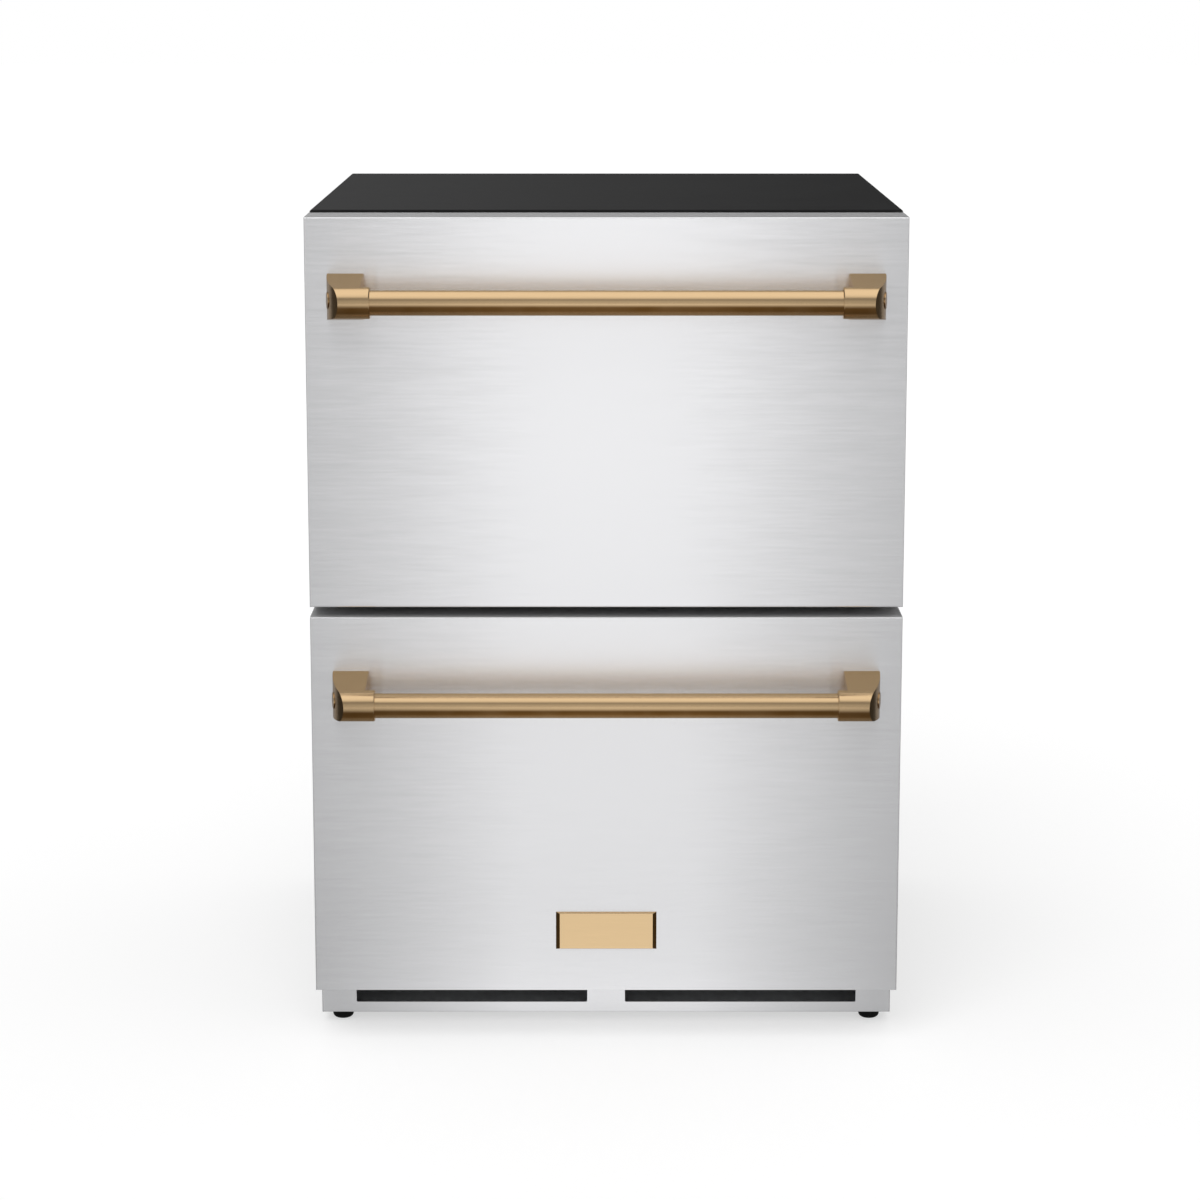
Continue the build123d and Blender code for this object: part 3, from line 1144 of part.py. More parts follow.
for name, drawer in DRAWERS.items():
    front_bottom = drawer["bottom"]
    front_top = front_bottom + FRONT_HEIGHT
    front_middle = (front_bottom + front_top) / 2
    slide_z = drawer["slide_z"]
    bar_z = front_top - HANDLE_DROP
    bar_y = FRONT_Y - HANDLE_STANDOFF
    screw_places = [(-SCREW_POST_X, bar_z), (SCREW_POST_X, bar_z)]

    # Stainless skin of the front: face and four returned edges
    with BuildPart() as door_skin:
        with BuildSketch(across(FRONT_Y)):
            with Locations((0, front_middle)):
                Rectangle(WIDTH, FRONT_HEIGHT)
        extrude(amount=-FRONT_THICKNESS)
        fillet(door_skin.edges().group_by(Axis.Y)[0], FRONT_EDGE_RADIUS)
        with BuildSketch(across(FRONT_Y + SHEET)):
            with Locations((0, front_middle)):
                Rectangle(WIDTH - 2 * SHEET, FRONT_HEIGHT - 2 * SHEET)
        extrude(amount=-FRONT_THICKNESS, mode=Mode.SUBTRACT)
        with BuildSketch(across(FRONT_Y)):
            with Locations(*screw_places):
                Circle(SCREW_HOLE + SEAM)
        extrude(amount=-SHEET, mode=Mode.SUBTRACT)
    door_skin.part.label = f"{name}_door_skin"
    export_step(door_skin.part, f"parts/{name}_door_skin.step")

    # Moulded liner on the back of the front
    plateau_outside = door_plateau(drawer, 0)
    plateau_inside = door_plateau(drawer, LINER_WALL)
    with BuildPart() as door_liner:
        with BuildSketch(across(FRONT_BACK_Y - LINER_WALL)):
            with Locations((0, front_middle)):
                Rectangle(WIDTH - 2 * SHEET - 2 * SEAM, FRONT_HEIGHT - 2 * SHEET - 2 * SEAM)
        extrude(amount=-LINER_WALL)
        add(plateau_outside)
        add(plateau_inside, mode=Mode.SUBTRACT)
    door_liner.part.label = f"{name}_door_liner"
    export_step(door_liner.part, f"parts/{name}_door_liner.step")

    # Foam that fills the front behind its skin
    with BuildPart() as door_foam:
        with BuildSketch(across(FRONT_Y + SHEET)):
            with Locations((0, front_middle)):
                Rectangle(WIDTH - 2 * SHEET, FRONT_HEIGHT - 2 * SHEET)
        extrude(amount=-(FRONT_THICKNESS - SHEET - LINER_WALL))
        add(plateau_inside)
        with BuildSketch(across(FRONT_Y + SHEET)):
            with Locations(*screw_places):
                Circle(MOUNT_SCREW_HEAD / 2 + SEAM)
        extrude(amount=-MOUNT_SCREW_HEAD_HEIGHT - SEAM, mode=Mode.SUBTRACT)
    door_foam.part.label = f"{name}_door_foam"
    export_step(door_foam.part, f"parts/{name}_door_foam.step")

    # Magnetic gasket: a broad base, a narrow waist and a bulb that stops short of the face frame
    bulb_depth = GASKET_SPACE - GASKET_BASE - GASKET_WAIST - RUNNING_GAP
    gasket_layers = [
        (FRONT_BACK_Y, GASKET_BASE, 0),
        (FRONT_BACK_Y + GASKET_BASE, GASKET_WAIST, GASKET_WAIST_INSET),
        (FRONT_BACK_Y + GASKET_BASE + GASKET_WAIST, bulb_depth, GASKET_BULB_INSET),
    ]
    with BuildPart() as gasket:
        for layer_y, depth, inset in gasket_layers:
            with BuildSketch(across(layer_y)):
                ring(
                    front_middle,
                    WIDTH - 2 * (GASKET_INSET + inset),
                    FRONT_HEIGHT - 2 * (GASKET_INSET + inset),
                    GASKET_CORNER - inset / 2,
                    GASKET_WIDTH - 2 * inset,
                )
            extrude(amount=-depth)
    gasket.part.label = f"{name}_gasket"
    export_step(gasket.part, f"parts/{name}_gasket.step")

    # Handle brackets: post flared to the front, sleeve for the bar, ends cut to one plan arc
    with BuildPart() as brackets:
        with BuildSketch(Plane.YZ.offset(POST_INNER_X)):
            with BuildLine():
                Line((FRONT_Y, bar_z - POST_FALL), (FRONT_Y, bar_z + POST_RISE))
                CenterArc((bar_y, bar_z), SLEEVE_DIAMETER / 2, 0, 360)
            make_hull()
        extrude(amount=POST_OUTER_X - POST_INNER_X)
        with BuildSketch(Plane.YZ.offset(SLEEVE_INNER_X)):
            with Locations((bar_y, bar_z)):
                Circle(SLEEVE_DIAMETER / 2)
        extrude(amount=POST_OUTER_X - SLEEVE_INNER_X)
        with BuildSketch(Plane.XY.offset(bar_z - 2 * POST_RISE)):
            with Locations((ARC_CENTRE_X, FRONT_Y)):
                Circle(END_ARC_RADIUS)
        extrude(amount=4 * POST_RISE, mode=Mode.INTERSECT)
        chamfer(brackets.edges().group_by(Axis.X)[0], BRACKET_EDGE)
        with BuildSketch(Plane.YZ.offset(SLEEVE_INNER_X)):
            with Locations((bar_y, bar_z)):
                Circle(BAR_DIAMETER / 2 + SOCKET_CLEARANCE)
        extrude(amount=SOCKET_DEPTH, mode=Mode.SUBTRACT)
        with BuildSketch(across(FRONT_Y)):
            with Locations((SCREW_POST_X, bar_z)):
                Circle(SCREW_HOLE)
        extrude(amount=MOUNT_SCREW_GRIP + SHEET, mode=Mode.SUBTRACT)
        cap_seat = Plane(
            origin=(CAP_SEAT_X, FRONT_Y - CAP_STANDOFF, bar_z),
            x_dir=(0, 0, 1),
            z_dir=(cos(radians(CAP_ANGLE)), -sin(radians(CAP_ANGLE)), 0),
        )
        with BuildSketch(cap_seat.offset(CAP_PROUD)):
            Circle(CAP_DIAMETER / 2 + SEAM)
        extrude(amount=-CAP_THICKNESS, mode=Mode.SUBTRACT)
        with BuildSketch(cap_seat):
            Circle(CAP_STEM_DIAMETER / 2 + SEAM / 2)
        extrude(amount=-CAP_STEM_LENGTH - SEAM, mode=Mode.SUBTRACT)
        mirror(about=Plane.YZ)
    brackets.part.label = f"{name}_handle_brackets"
    export_step(brackets.part, f"parts/{name}_handle_brackets.step")

    # Screw covers in the curved ends of the brackets
    with BuildPart() as caps:
        with BuildSketch(cap_seat.offset(CAP_PROUD - CAP_THICKNESS)):
            Circle(CAP_DIAMETER / 2)
        extrude(amount=CAP_THICKNESS)
        with BuildSketch(cap_seat.offset(CAP_PROUD - CAP_THICKNESS)):
            Circle(CAP_STEM_DIAMETER / 2)
        extrude(amount=-(CAP_STEM_LENGTH + CAP_PROUD - CAP_THICKNESS))
        mirror(about=Plane.YZ)
    caps.part.label = f"{name}_handle_caps"
    export_step(caps.part, f"parts/{name}_handle_caps.step")

    # Handle bar: a tube with both ends in the sockets
    bar_length = 2 * (SLEEVE_INNER_X + SOCKET_DEPTH - BAR_END_GAP)
    with BuildPart() as handle_bar:
        with BuildSketch(Plane.YZ.offset(-bar_length / 2)):
            with Locations((bar_y, bar_z)):
                Circle(BAR_DIAMETER / 2)
                Circle(BAR_DIAMETER / 2 - BAR_WALL, mode=Mode.SUBTRACT)
        extrude(amount=bar_length)
    handle_bar.part.label = f"{name}_handle_bar"
    export_step(handle_bar.part, f"parts/{name}_handle_bar.step")

    # Screws that hold the brackets from inside the front
    with BuildPart() as handle_screws:
        with BuildSketch(across(FRONT_Y + SHEET)):
            with Locations(*screw_places):
                Circle(MOUNT_SCREW_HEAD / 2)
        extrude(amount=-MOUNT_SCREW_HEAD_HEIGHT)
        with BuildSketch(across(FRONT_Y + SHEET)):
            with Locations(*screw_places):
                Circle(MOUNT_SCREW_DIAMETER / 2)
        extrude(amount=MOUNT_SCREW_GRIP + SHEET)
    handle_screws.part.label = f"{name}_handle_screws"
    export_step(handle_screws.part, f"parts/{name}_handle_screws.step")

    # Telescopic slides: fixed rails on the liner, middle members, and inner members on the drawer
    with BuildPart() as slide_rails:
        with BuildSketch(across(SLIDE_Y)):
            channel(0, RAIL_LIP, SLIDE_HALF, slide_z)
        extrude(amount=-SLIDE_LENGTH)
        mirror(about=Plane.YZ)
    slide_rails.part.label = f"{name}_slide_rails"
    export_step(slide_rails.part, f"parts/{name}_slide_rails.step")

    with BuildPart() as slide_middles:
        with BuildSketch(across(SLIDE_Y)):
            channel(SLIDE_SHEET + SLIDE_PLAY, MIDDLE_LIP, MIDDLE_HALF, slide_z)
        extrude(amount=-SLIDE_LENGTH)
        mirror(about=Plane.YZ)
    slide_middles.part.label = f"{name}_slide_middles"
    export_step(slide_middles.part, f"parts/{name}_slide_middles.step")

    with BuildPart() as slide_inners:
        with BuildSketch(across(SLIDE_Y)):
            channel(SLIDE_THICKNESS, INNER_LIP, INNER_HALF, slide_z)
        extrude(amount=-SLIDE_LENGTH)
        mirror(about=Plane.YZ)
    slide_inners.part.label = f"{name}_slide_inners"
    export_step(slide_inners.part, f"parts/{name}_slide_inners.step")

    # Drawer frame: side plates on the slides, tabs on the front's liner and a rear cross plate
    plate_low = slide_z - FRAME_BELOW_SLIDE
    plate_high = slide_z + FRAME_ABOVE_SLIDE
    with BuildPart() as drawer_frame:
        with BuildSketch(across(FRAME_Y)):
            for side in (-1, 1):
                low_x, high_x = sorted((side * FRAME_X, side * (FRAME_X - FRAME_SHEET)))
                span(low_x, high_x, plate_low, plate_high)
        extrude(amount=-FRAME_LENGTH)
        with BuildSketch(across(FRAME_Y)):
            for side in (-1, 1):
                low_x, high_x = sorted((side * FRAME_X, side * (FRAME_X - FRAME_TAB_WIDTH)))
                span(low_x, high_x, plate_low, slide_z + FRAME_TAB_RISE)
        extrude(amount=-FRAME_SHEET)
        with BuildSketch(across(FRAME_Y + FRAME_LENGTH - FRAME_SHEET)):
            span(-FRAME_X, FRAME_X, plate_low, plate_high - FRAME_REAR_DROP)
        extrude(amount=-FRAME_SHEET)
    drawer_frame.part.label = f"{name}_drawer_frame"
    export_step(drawer_frame.part, f"parts/{name}_drawer_frame.step")

    # Bin: a collar that rests on the side plates and a body that hangs between them
    collar_half = CAVITY_HALF - BIN_COLLAR_SIDE_GAP
    body_half = FRAME_X - FRAME_SHEET - BIN_SIDE_GAP
    bin_front = FRAME_Y + FRAME_SHEET + BIN_FRONT_GAP
    bin_end = FRAME_Y + FRAME_LENGTH - FRAME_SHEET - BIN_REAR_GAP
    bin_low = drawer["open_bottom"] + BIN_FLOOR_GAP
    step_low = plate_low + BIN_STEP_CLEARANCE
    bin_levels = [
        (bin_low, plate_high, body_half, bin_front, drawer["deep_end"]),
        (step_low, plate_high, body_half, bin_front, bin_end),
        (plate_high, drawer["bin_top"], collar_half, bin_front, bin_end),
    ]
    bin_outside = bin_form(bin_levels, 0)
    bin_inside = bin_form(bin_levels, BIN_WALL)

    with BuildPart() as drawer_bin:
        add(bin_outside)
        with BuildSketch(Plane.XY.offset(drawer["bin_top"] - BIN_RIM)):
            with Locations((0, (bin_front + bin_end) / 2)):
                rim_length = bin_end - bin_front + 2 * BIN_RIM_OVERHANG
                rim_half = collar_half + BIN_RIM_OVERHANG
                RectangleRounded(2 * rim_half, rim_length, BIN_CORNER + BIN_RIM_OVERHANG)
        extrude(amount=BIN_RIM)
        add(bin_inside, mode=Mode.SUBTRACT)
    drawer_bin.part.label = f"{name}_bin"
    export_step(drawer_bin.part, f"parts/{name}_bin.step")

# Bare name plate on the lower front, with broad side bevels and narrow ones above and below
plate_z = FRONT_BOTTOM + PLATE_CENTRE_HEIGHT
with BuildPart() as name_plate:
    with BuildSketch(Plane.XY.offset(plate_z - PLATE_HEIGHT / 2)):
        Polygon(
            (-PLATE_WIDTH / 2, FRONT_Y),
            (PLATE_WIDTH / 2, FRONT_Y),
            (PLATE_WIDTH / 2 - PLATE_SIDE_BEVEL, FRONT_Y - PLATE_THICKNESS),
            (-PLATE_WIDTH / 2 + PLATE_SIDE_BEVEL, FRONT_Y - PLATE_THICKNESS),
            align=None,
        )
    extrude(amount=PLATE_HEIGHT)
    with BuildSketch(Plane.YZ.offset(-PLATE_WIDTH / 2)):
        Polygon(
            (FRONT_Y, plate_z - PLATE_HEIGHT / 2),
            (FRONT_Y - PLATE_THICKNESS, plate_z - PLATE_HEIGHT / 2 + PLATE_TOP_BEVEL),
            (FRONT_Y - PLATE_THICKNESS, plate_z + PLATE_HEIGHT / 2 - PLATE_TOP_BEVEL),
            (FRONT_Y, plate_z + PLATE_HEIGHT / 2),
            align=None,
        )
    extrude(amount=PLATE_WIDTH, mode=Mode.INTERSECT)
name_plate.part.label = "name_plate"
export_step(name_plate.part, "parts/name_plate.step")
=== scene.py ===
"""Looks of the two-drawer freezer: finishes, fine fittings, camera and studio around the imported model."""

import json
from math import cos, radians, sin, tan

import bmesh
import bpy
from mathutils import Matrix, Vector


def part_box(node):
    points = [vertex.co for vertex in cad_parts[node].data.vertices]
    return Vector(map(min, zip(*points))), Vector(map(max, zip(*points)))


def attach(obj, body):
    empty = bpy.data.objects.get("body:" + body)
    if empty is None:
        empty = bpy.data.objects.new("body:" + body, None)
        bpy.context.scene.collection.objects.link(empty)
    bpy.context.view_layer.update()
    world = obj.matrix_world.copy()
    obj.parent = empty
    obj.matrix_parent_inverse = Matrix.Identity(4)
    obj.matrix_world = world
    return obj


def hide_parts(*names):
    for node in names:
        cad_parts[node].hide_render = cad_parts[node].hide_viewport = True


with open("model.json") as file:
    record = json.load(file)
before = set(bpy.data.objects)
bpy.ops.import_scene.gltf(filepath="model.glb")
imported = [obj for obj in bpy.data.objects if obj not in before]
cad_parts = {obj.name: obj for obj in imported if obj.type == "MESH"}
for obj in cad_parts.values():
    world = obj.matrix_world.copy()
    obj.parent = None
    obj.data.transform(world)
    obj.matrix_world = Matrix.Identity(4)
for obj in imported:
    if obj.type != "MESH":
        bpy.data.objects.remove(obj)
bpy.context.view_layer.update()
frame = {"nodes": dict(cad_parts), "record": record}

MM = 0.001

# Camera, fitted to the photograph: focal length in its pixels, distance from the fronts, height over
# them, pitch in degrees and shift of the lens
IMAGE_PIXELS = 1200
SENSOR = 36.0
FOCAL_PIXELS = 3114.19
CAMERA_X = -0.00644
CAMERA_DISTANCE = 3.100
CAMERA_RISE = 0.25296
CAMERA_PITCH = 9.924
CAMERA_SHIFT = -0.08

# Plain light: an even white room and one soft lamp from the upper left, in front
WORLD_FILL = 0.62
KEY_STRENGTH = 1.15
KEY_ANGLE = 44.0
KEY_ELEVATION = 50.0
KEY_TURN = 12.0
KEY_DISTANCE = 4.0

# The room that bright metal mirrors, in steps of (where, level): by height and by distance aside
ROOM_PEAK = 1.42
ROOM_BY_HEIGHT = [(0.0, 0.76), (0.20, 0.69), (0.40, 0.60), (0.54, 0.38), (0.64, 0.38), (0.76, 0.82),
                  (0.95, 1.0), (1.0, 1.0)]
ROOM_BY_SIDE = [(0.0, 1.0), (0.03, 1.0), (0.065, 0.73), (0.095, 0.54), (0.14, 0.40), (0.30, 0.55),
                (0.55, 0.64), (1.0, 0.64)]
# Heights over which the sides stop counting, and depths over which the back of the room takes over
OVERHEAD = (0.55, 0.85)
BEHIND = (-0.02, 0.12)
# Levels at the back of the room, on its left and on its right, and how far aside each begins
BACK_LEVELS = (0.20, 0.0)
BACK_TURN = 0.12

# The floor: its paint, how the camera sees it, and how metal mirrors it, with painted shade by distance
# from the object
FLOOR_SIZE = 60.0
FLOOR_PAINT = (0.80, 0.82)
FLOOR_SEEN = 0.52
FLOOR_GLOW = 0.56
FLOOR_MIRRORED = 0.02
FLOOR_PEAK = 1.30
FLOOR_REACH = 6.0
FLOOR_BY_DISTANCE = [(0.0, 0.77), (0.065, 0.77), (0.10, 0.58), (0.20, 0.68), (0.45, 0.80), (1.0, 1.0)]
# Least distance ahead by which the floor's sides are told apart
NEAREST_AHEAD = 0.5
# Painted shade: share of its level that the mirrored floor keeps behind the fronts, and the depth over
# which it fades
DARKNESS_BEHIND = 0.12
FADE_DEPTH = 0.2

# Brushed steel: direction of the strokes, a little off X so that faces to the side have strokes too,
# tilt from one stroke to the next, and how far up or down a fold faces
BRUSH_STROKE = (1.0, 0.01, 0.0)
STROKE_LEAN = 0.045
# Painted shade: folds facing up or down take a darker, less metallic steel.
FOLD_SHADE_SLOPES = (0.6, 0.9)

# Painted shade on the bronze: how far down a face looks where it darkens and where it lightens, and how far
# outward
# The lightening at the very bottom is a painted reflection, and the darkening at the ends is painted shade.
SHADE_DOWNWARD = (0.0, -0.28)
BOTTOM_REFLECTION_DOWNWARD = (-0.55, -0.75)
BOTTOM_SHADE_KEPT = 0.72
END_SHADE_OUTWARD = (0.2, 0.5)
END_SHADE_DEPTH = 0.75

# Painted shade on the name plate's bevels: how far they turn from its face, and how dark the upper and
# lower ones are
BEVEL_SLOPES = (0.1, 0.25)
EDGE_DEPTH = 0.4

# Cross-recess pan heads, as shares of the head's radius and height
SCREW_SIDES = 24
SCREW_ROUNDS = [(1.0, 0.0), (1.0, 0.35), (0.93, 0.72), (0.78, 0.93), (0.60, 1.0)]
RECESS_REACH = 0.52
RECESS_OUTLINE = (1.0, 1.035, 0.536, 0.379, 0.536, 1.035)
RECESS_TAPER = 0.75
RECESS_DEPTH = 0.75
# Height of a head, and the most that a screw is turned about its axis, in degrees
SCREW_HEAD_HEIGHT = 1.6 * MM
SCREW_TURN = 90.0
SCREW_TURN_SEED = 7

# Low ribs moulded on the floors of the bins, which keep a margin to the walls
RIB_PITCH = 26.0 * MM
RIB_WIDTH = 4.0 * MM
RIB_HEIGHT = 1.2 * MM
RIB_MARGIN = 24.0 * MM
# Steps along a rib and round its section, and how steeply it swells from its ends
RIB_STEPS = 24
RIB_SIDES = 12
RIB_END_SWELL = 16.0
# Where a bin's floor and walls are felt for: this share of its depth back, this far from rim and floor
FLOOR_CHECK_SHARE = 0.3
RIB_WALL_CHECK = 20.0 * MM

front_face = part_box("upper_door_skin")[0].y
front_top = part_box("upper_door_skin")[1].z


def grey(level):
    return (level, level, level)


class Graph:
    """Adds nodes to a node tree; an input is fed by a plain value or by another node's output."""

    def __init__(self, tree):
        self.tree = tree

    def add(self, kind, feeds=None, **settings):
        node = self.tree.nodes.new(kind)
        for name, value in settings.items():
            setattr(node, name, value)
        for socket, source in (feeds or {}).items():
            self.feed(node.inputs[socket], source)
        return node

    def feed(self, socket, source):
        if isinstance(source, bpy.types.NodeSocket):
            self.tree.links.new(source, socket)
        else:
            socket.default_value = source

    def math(self, operation, first, second=0.0):
        return self.add("ShaderNodeMath", {0: first, 1: second}, operation=operation).outputs[0]

    def vector_math(self, operation, first, second=(0.0, 0.0, 0.0)):
        feeds = {0: first, 1: second}
        return self.add("ShaderNodeVectorMath", feeds, operation=operation).outputs["Vector"]

    def length(self, vector):
        return self.add("ShaderNodeVectorMath", {0: vector}, operation="LENGTH").outputs["Value"]

    def parts(self, vector):
        """The X, Y and Z of a vector."""
        return self.add("ShaderNodeSeparateXYZ", {0: vector}).outputs

    def facing(self):
        """The direction that the surface faces."""
        return self.add("ShaderNodeNewGeometry").outputs["Normal"]

    def noise(self, vector, scale, detail=2.0, roughness=0.5):
        feeds = {"Vector": vector, "Scale": scale, "Detail": detail, "Roughness": roughness}
        return self.add("ShaderNodeTexNoise", feeds, noise_dimensions="3D").outputs["Fac"]

    def cells(self, vector, scale):
        return self.add("ShaderNodeTexVoronoi", {"Vector": vector, "Scale": scale}).outputs

    def spread(self, value, low, high, span=(0.0, 1.0), kind="LINEAR"):
        """Takes a value along a span to one from low to high."""
        feeds = {"Value": value, "From Min": span[0], "From Max": span[1], "To Min": low, "To Max": high}
        return self.add("ShaderNodeMapRange", feeds, interpolation_type=kind).outputs["Result"]

    def ease(self, value, low, high, span):
        """Spreads a value with soft ends."""
        return self.spread(value, low, high, span, "SMOOTHSTEP")

    def mix(self, factor, first, second):
        """Blends two values."""
        return self.add("ShaderNodeMix", {"Factor": factor, "A": first, "B": second}).outputs["Result"]

    def tint(self, factor, first, second):
        """Blends two colours, each of them plain or another node's output."""
        node = self.add("ShaderNodeMix", {"Factor": factor}, data_type="RGBA")
        for title, colour in (("A", first), ("B", second)):
            linked = isinstance(colour, bpy.types.NodeSocket)
            self.feed(node.inputs[title], colour if linked else (*colour, 1.0))
        return next(out for out in node.outputs if out.type == "RGBA")

    def level(self, steps, where):
        """The light level that a stepped group gives for a place."""
        return self.add("ShaderNodeGroup", {"Where": where}, node_tree=steps).outputs["Level"]


def new_group(name, inputs, outputs):
    """An empty shader group with named sockets: its graph and its inside ends."""
    tree = bpy.data.node_groups.new(name, "ShaderNodeTree")
    for title, kind, value in inputs:
        socket = tree.interface.new_socket(name=title, in_out="INPUT", socket_type=kind)
        if value is not None:
            socket.default_value = value
    for title in outputs:
        tree.interface.new_socket(name=title, in_out="OUTPUT", socket_type="NodeSocketFloat")
    graph = Graph(tree)
    return graph, graph.add("NodeGroupInput").outputs, graph.add("NodeGroupOutput").inputs


def brushed_grain_group():
    """Long fine scratches along one axis, in two sizes, with faint wider bands."""
    inputs = [
        ("Vector", "NodeSocketVector", None),
        ("Coarse", "NodeSocketVector", (22.0, 420.0, 420.0)),
        ("Fine", "NodeSocketVector", (45.0, 2600.0, 2600.0)),
        ("Bands", "NodeSocketVector", (3.0, 60.0, 60.0)),
    ]
    graph, given, result = new_group("brushed grain", inputs, ["Shade", "Height"])

    def marks(title, share, **texture):
        stretched = graph.vector_math("MULTIPLY", given["Vector"], given[title])
        return graph.math("MULTIPLY", graph.noise(stretched, scale=1.0, **texture), share)

    scratches = graph.math("ADD", marks("Coarse", 0.55, detail=3.0, roughness=0.6), marks("Fine", 0.3))
    graph.feed(result["Height"], scratches)
    graph.feed(result["Shade"], graph.math("ADD", scratches, marks("Bands", 0.15)))
    return graph.tree


def grained_paint_group():
    """The fine orange peel of baked powder paint, with a slow mottle."""
    inputs = [("Vector", "NodeSocketVector", None), ("Peel", "NodeSocketFloat", 900.0)]
    graph, given, result = new_group("grained paint", inputs, ["Mottle", "Height"])
    graph.feed(result["Height"], graph.noise(given["Vector"], given["Peel"], roughness=0.45))
    graph.feed(result["Mottle"], graph.noise(given["Vector"], scale=9.0, detail=3.0, roughness=0.6))
    return graph.tree


def handled_surface_group():
    """Slow, soft changes of gloss where a surface was wiped and handled."""
    inputs = [("Vector", "NodeSocketVector", None), ("Size", "NodeSocketFloat", 14.0)]
    graph, given, result = new_group("handled surface", inputs, ["Smudge"])
    smudge = graph.noise(given["Vector"], given["Size"], detail=4.0, roughness=0.55)
    graph.feed(result["Smudge"], smudge)
    return graph.tree


def painted_shade_group():
    """Painted shade: underneath, eased by a painted reflection at the very bottom, and at the outer ends.
    """
    graph, given, result = new_group("browned parts", [("Vector", "NodeSocketVector", None)], ["Depth"])
    facing = graph.parts(graph.facing())
    below = graph.ease(facing["Z"], 0.0, 1.0, SHADE_DOWNWARD)
    # painted reflection: the very bottom keeps less of the painted shade
    bottom_reflection = graph.ease(facing["Z"], 1.0, BOTTOM_SHADE_KEPT, BOTTOM_REFLECTION_DOWNWARD)
    side = graph.math("SIGN", graph.parts(given["Vector"])["X"])
    outward = graph.math("MULTIPLY", facing["X"], side)
    ends = graph.ease(outward, 0.0, END_SHADE_DEPTH, END_SHADE_OUTWARD)
    depth = graph.math("MAXIMUM", graph.math("MULTIPLY", below, bottom_reflection), ends)
    uneven = graph.spread(graph.noise(given["Vector"], scale=30.0, detail=3.0), 0.85, 1.1)
    graph.feed(result["Depth"], graph.math("MULTIPLY", depth, uneven))
    return graph.tree


def stepped_level_group(name, steps):
    """Takes a place from 0 to 1 to a light level, evenly from each given step to the next."""
    graph, given, result = new_group(name, [("Where", "NodeSocketFloat", 0.0)], ["Level"])
    ramp_node = graph.add("ShaderNodeValToRGB", {"Fac": given["Where"]})
    ramp = ramp_node.color_ramp
    ramp.interpolation = "LINEAR"
    while len(ramp.elements) < len(steps):
        ramp.elements.new(0.5)
    for element, (place, level) in zip(ramp.elements, steps):
        element.position = place
        element.color = (*grey(level), 1.0)
    graph.feed(result["Level"], ramp_node.outputs["Color"])
    return graph.tree


BRUSHED = brushed_grain_group()
PAINTED = grained_paint_group()
HANDLED = handled_surface_group()
BRONZE_SHADE = painted_shade_group()
HEIGHT_LEVEL = stepped_level_group("room level by height", ROOM_BY_HEIGHT)
SIDE_LEVEL = stepped_level_group("room level by side", ROOM_BY_SIDE)
FLOOR_LEVEL = stepped_level_group("floor level by distance", FLOOR_BY_DISTANCE)


class Finish:
    """One material: its graph, object coordinates and the Principled shader with its plain values."""

    def __init__(self, name, **plain):
        self.material = bpy.data.materials.new(name)
        self.material.use_nodes = True
        self.graph = Graph(self.material.node_tree)
        self.shader = self.material.node_tree.nodes["Principled BSDF"]
        self.place = self.graph.add("ShaderNodeTexCoord").outputs["Object"]
        for title, value in plain.items():
            self.set(title.replace("_", " "), value)

    def set(self, title, source):
        self.graph.feed(self.shader.inputs[title], source)

    def group(self, tree, **values):
        """The outputs of a shader group that lies on the object's own coordinates."""
        feeds = {"Vector": self.place, **values}
        return self.graph.add("ShaderNodeGroup", feeds, node_tree=tree).outputs

    def colour(self, factor, first, second):
        self.set("Base Color", self.graph.tint(factor, first, second))

    def roughness(self, factor, low, high):
        self.set("Roughness", self.graph.spread(factor, low, high))

    def brush_across(self, stroke):
        """Spreads reflections at right angles to the brush stroke, on whatever face."""
        self.set("Tangent", self.graph.vector_math("CROSS_PRODUCT", self.graph.facing(), stroke))

    def lean(self, grain, amount):
        """Tilts each stroke a little to one side, so it shows where the reflection changes sideways."""
        sideways = self.graph.spread(grain, -amount / 2, amount / 2)
        tilt = self.graph.add("ShaderNodeCombineXYZ", {"X": sideways}).outputs["Vector"]
        turned = self.graph.vector_math("ADD", self.graph.facing(), tilt)
        self.set("Normal", self.graph.vector_math("NORMALIZE", turned))

    def bump(self, height, strength, depth):
        feeds = {"Height": height, "Strength": strength, "Distance": depth}
        self.set("Normal", self.graph.add("ShaderNodeBump", feeds).outputs["Normal"])


def brushed_front():
    """Lacquered stainless sheet, brushed from side to side; painted shade darkens the folds that face up or
    down.
    """
    finish = Finish("brushed stainless front", Anisotropic=1.0)
    graph = finish.graph
    grain = finish.group(BRUSHED)
    slope = graph.math("ABSOLUTE", graph.parts(graph.facing())["Z"])
    fold = graph.spread(slope, 0.0, 1.0, FOLD_SHADE_SLOPES)
    steel = graph.tint(grain["Shade"], (0.80, 0.80, 0.815), (0.875, 0.875, 0.89))
    # painted shade: folds that face up or down take a darker, less metallic steel
    finish.colour(fold, steel, (0.76, 0.76, 0.765))
    finish.set("Metallic", graph.spread(fold, 0.88, 0.55))
    finish.roughness(grain["Shade"], 0.18, 0.25)
    strokes = finish.group(BRUSHED, Coarse=(17.0, 380.0, 380.0))
    finish.lean(strokes["Shade"], STROKE_LEAN)
    finish.brush_across(BRUSH_STROKE)
    return finish.material


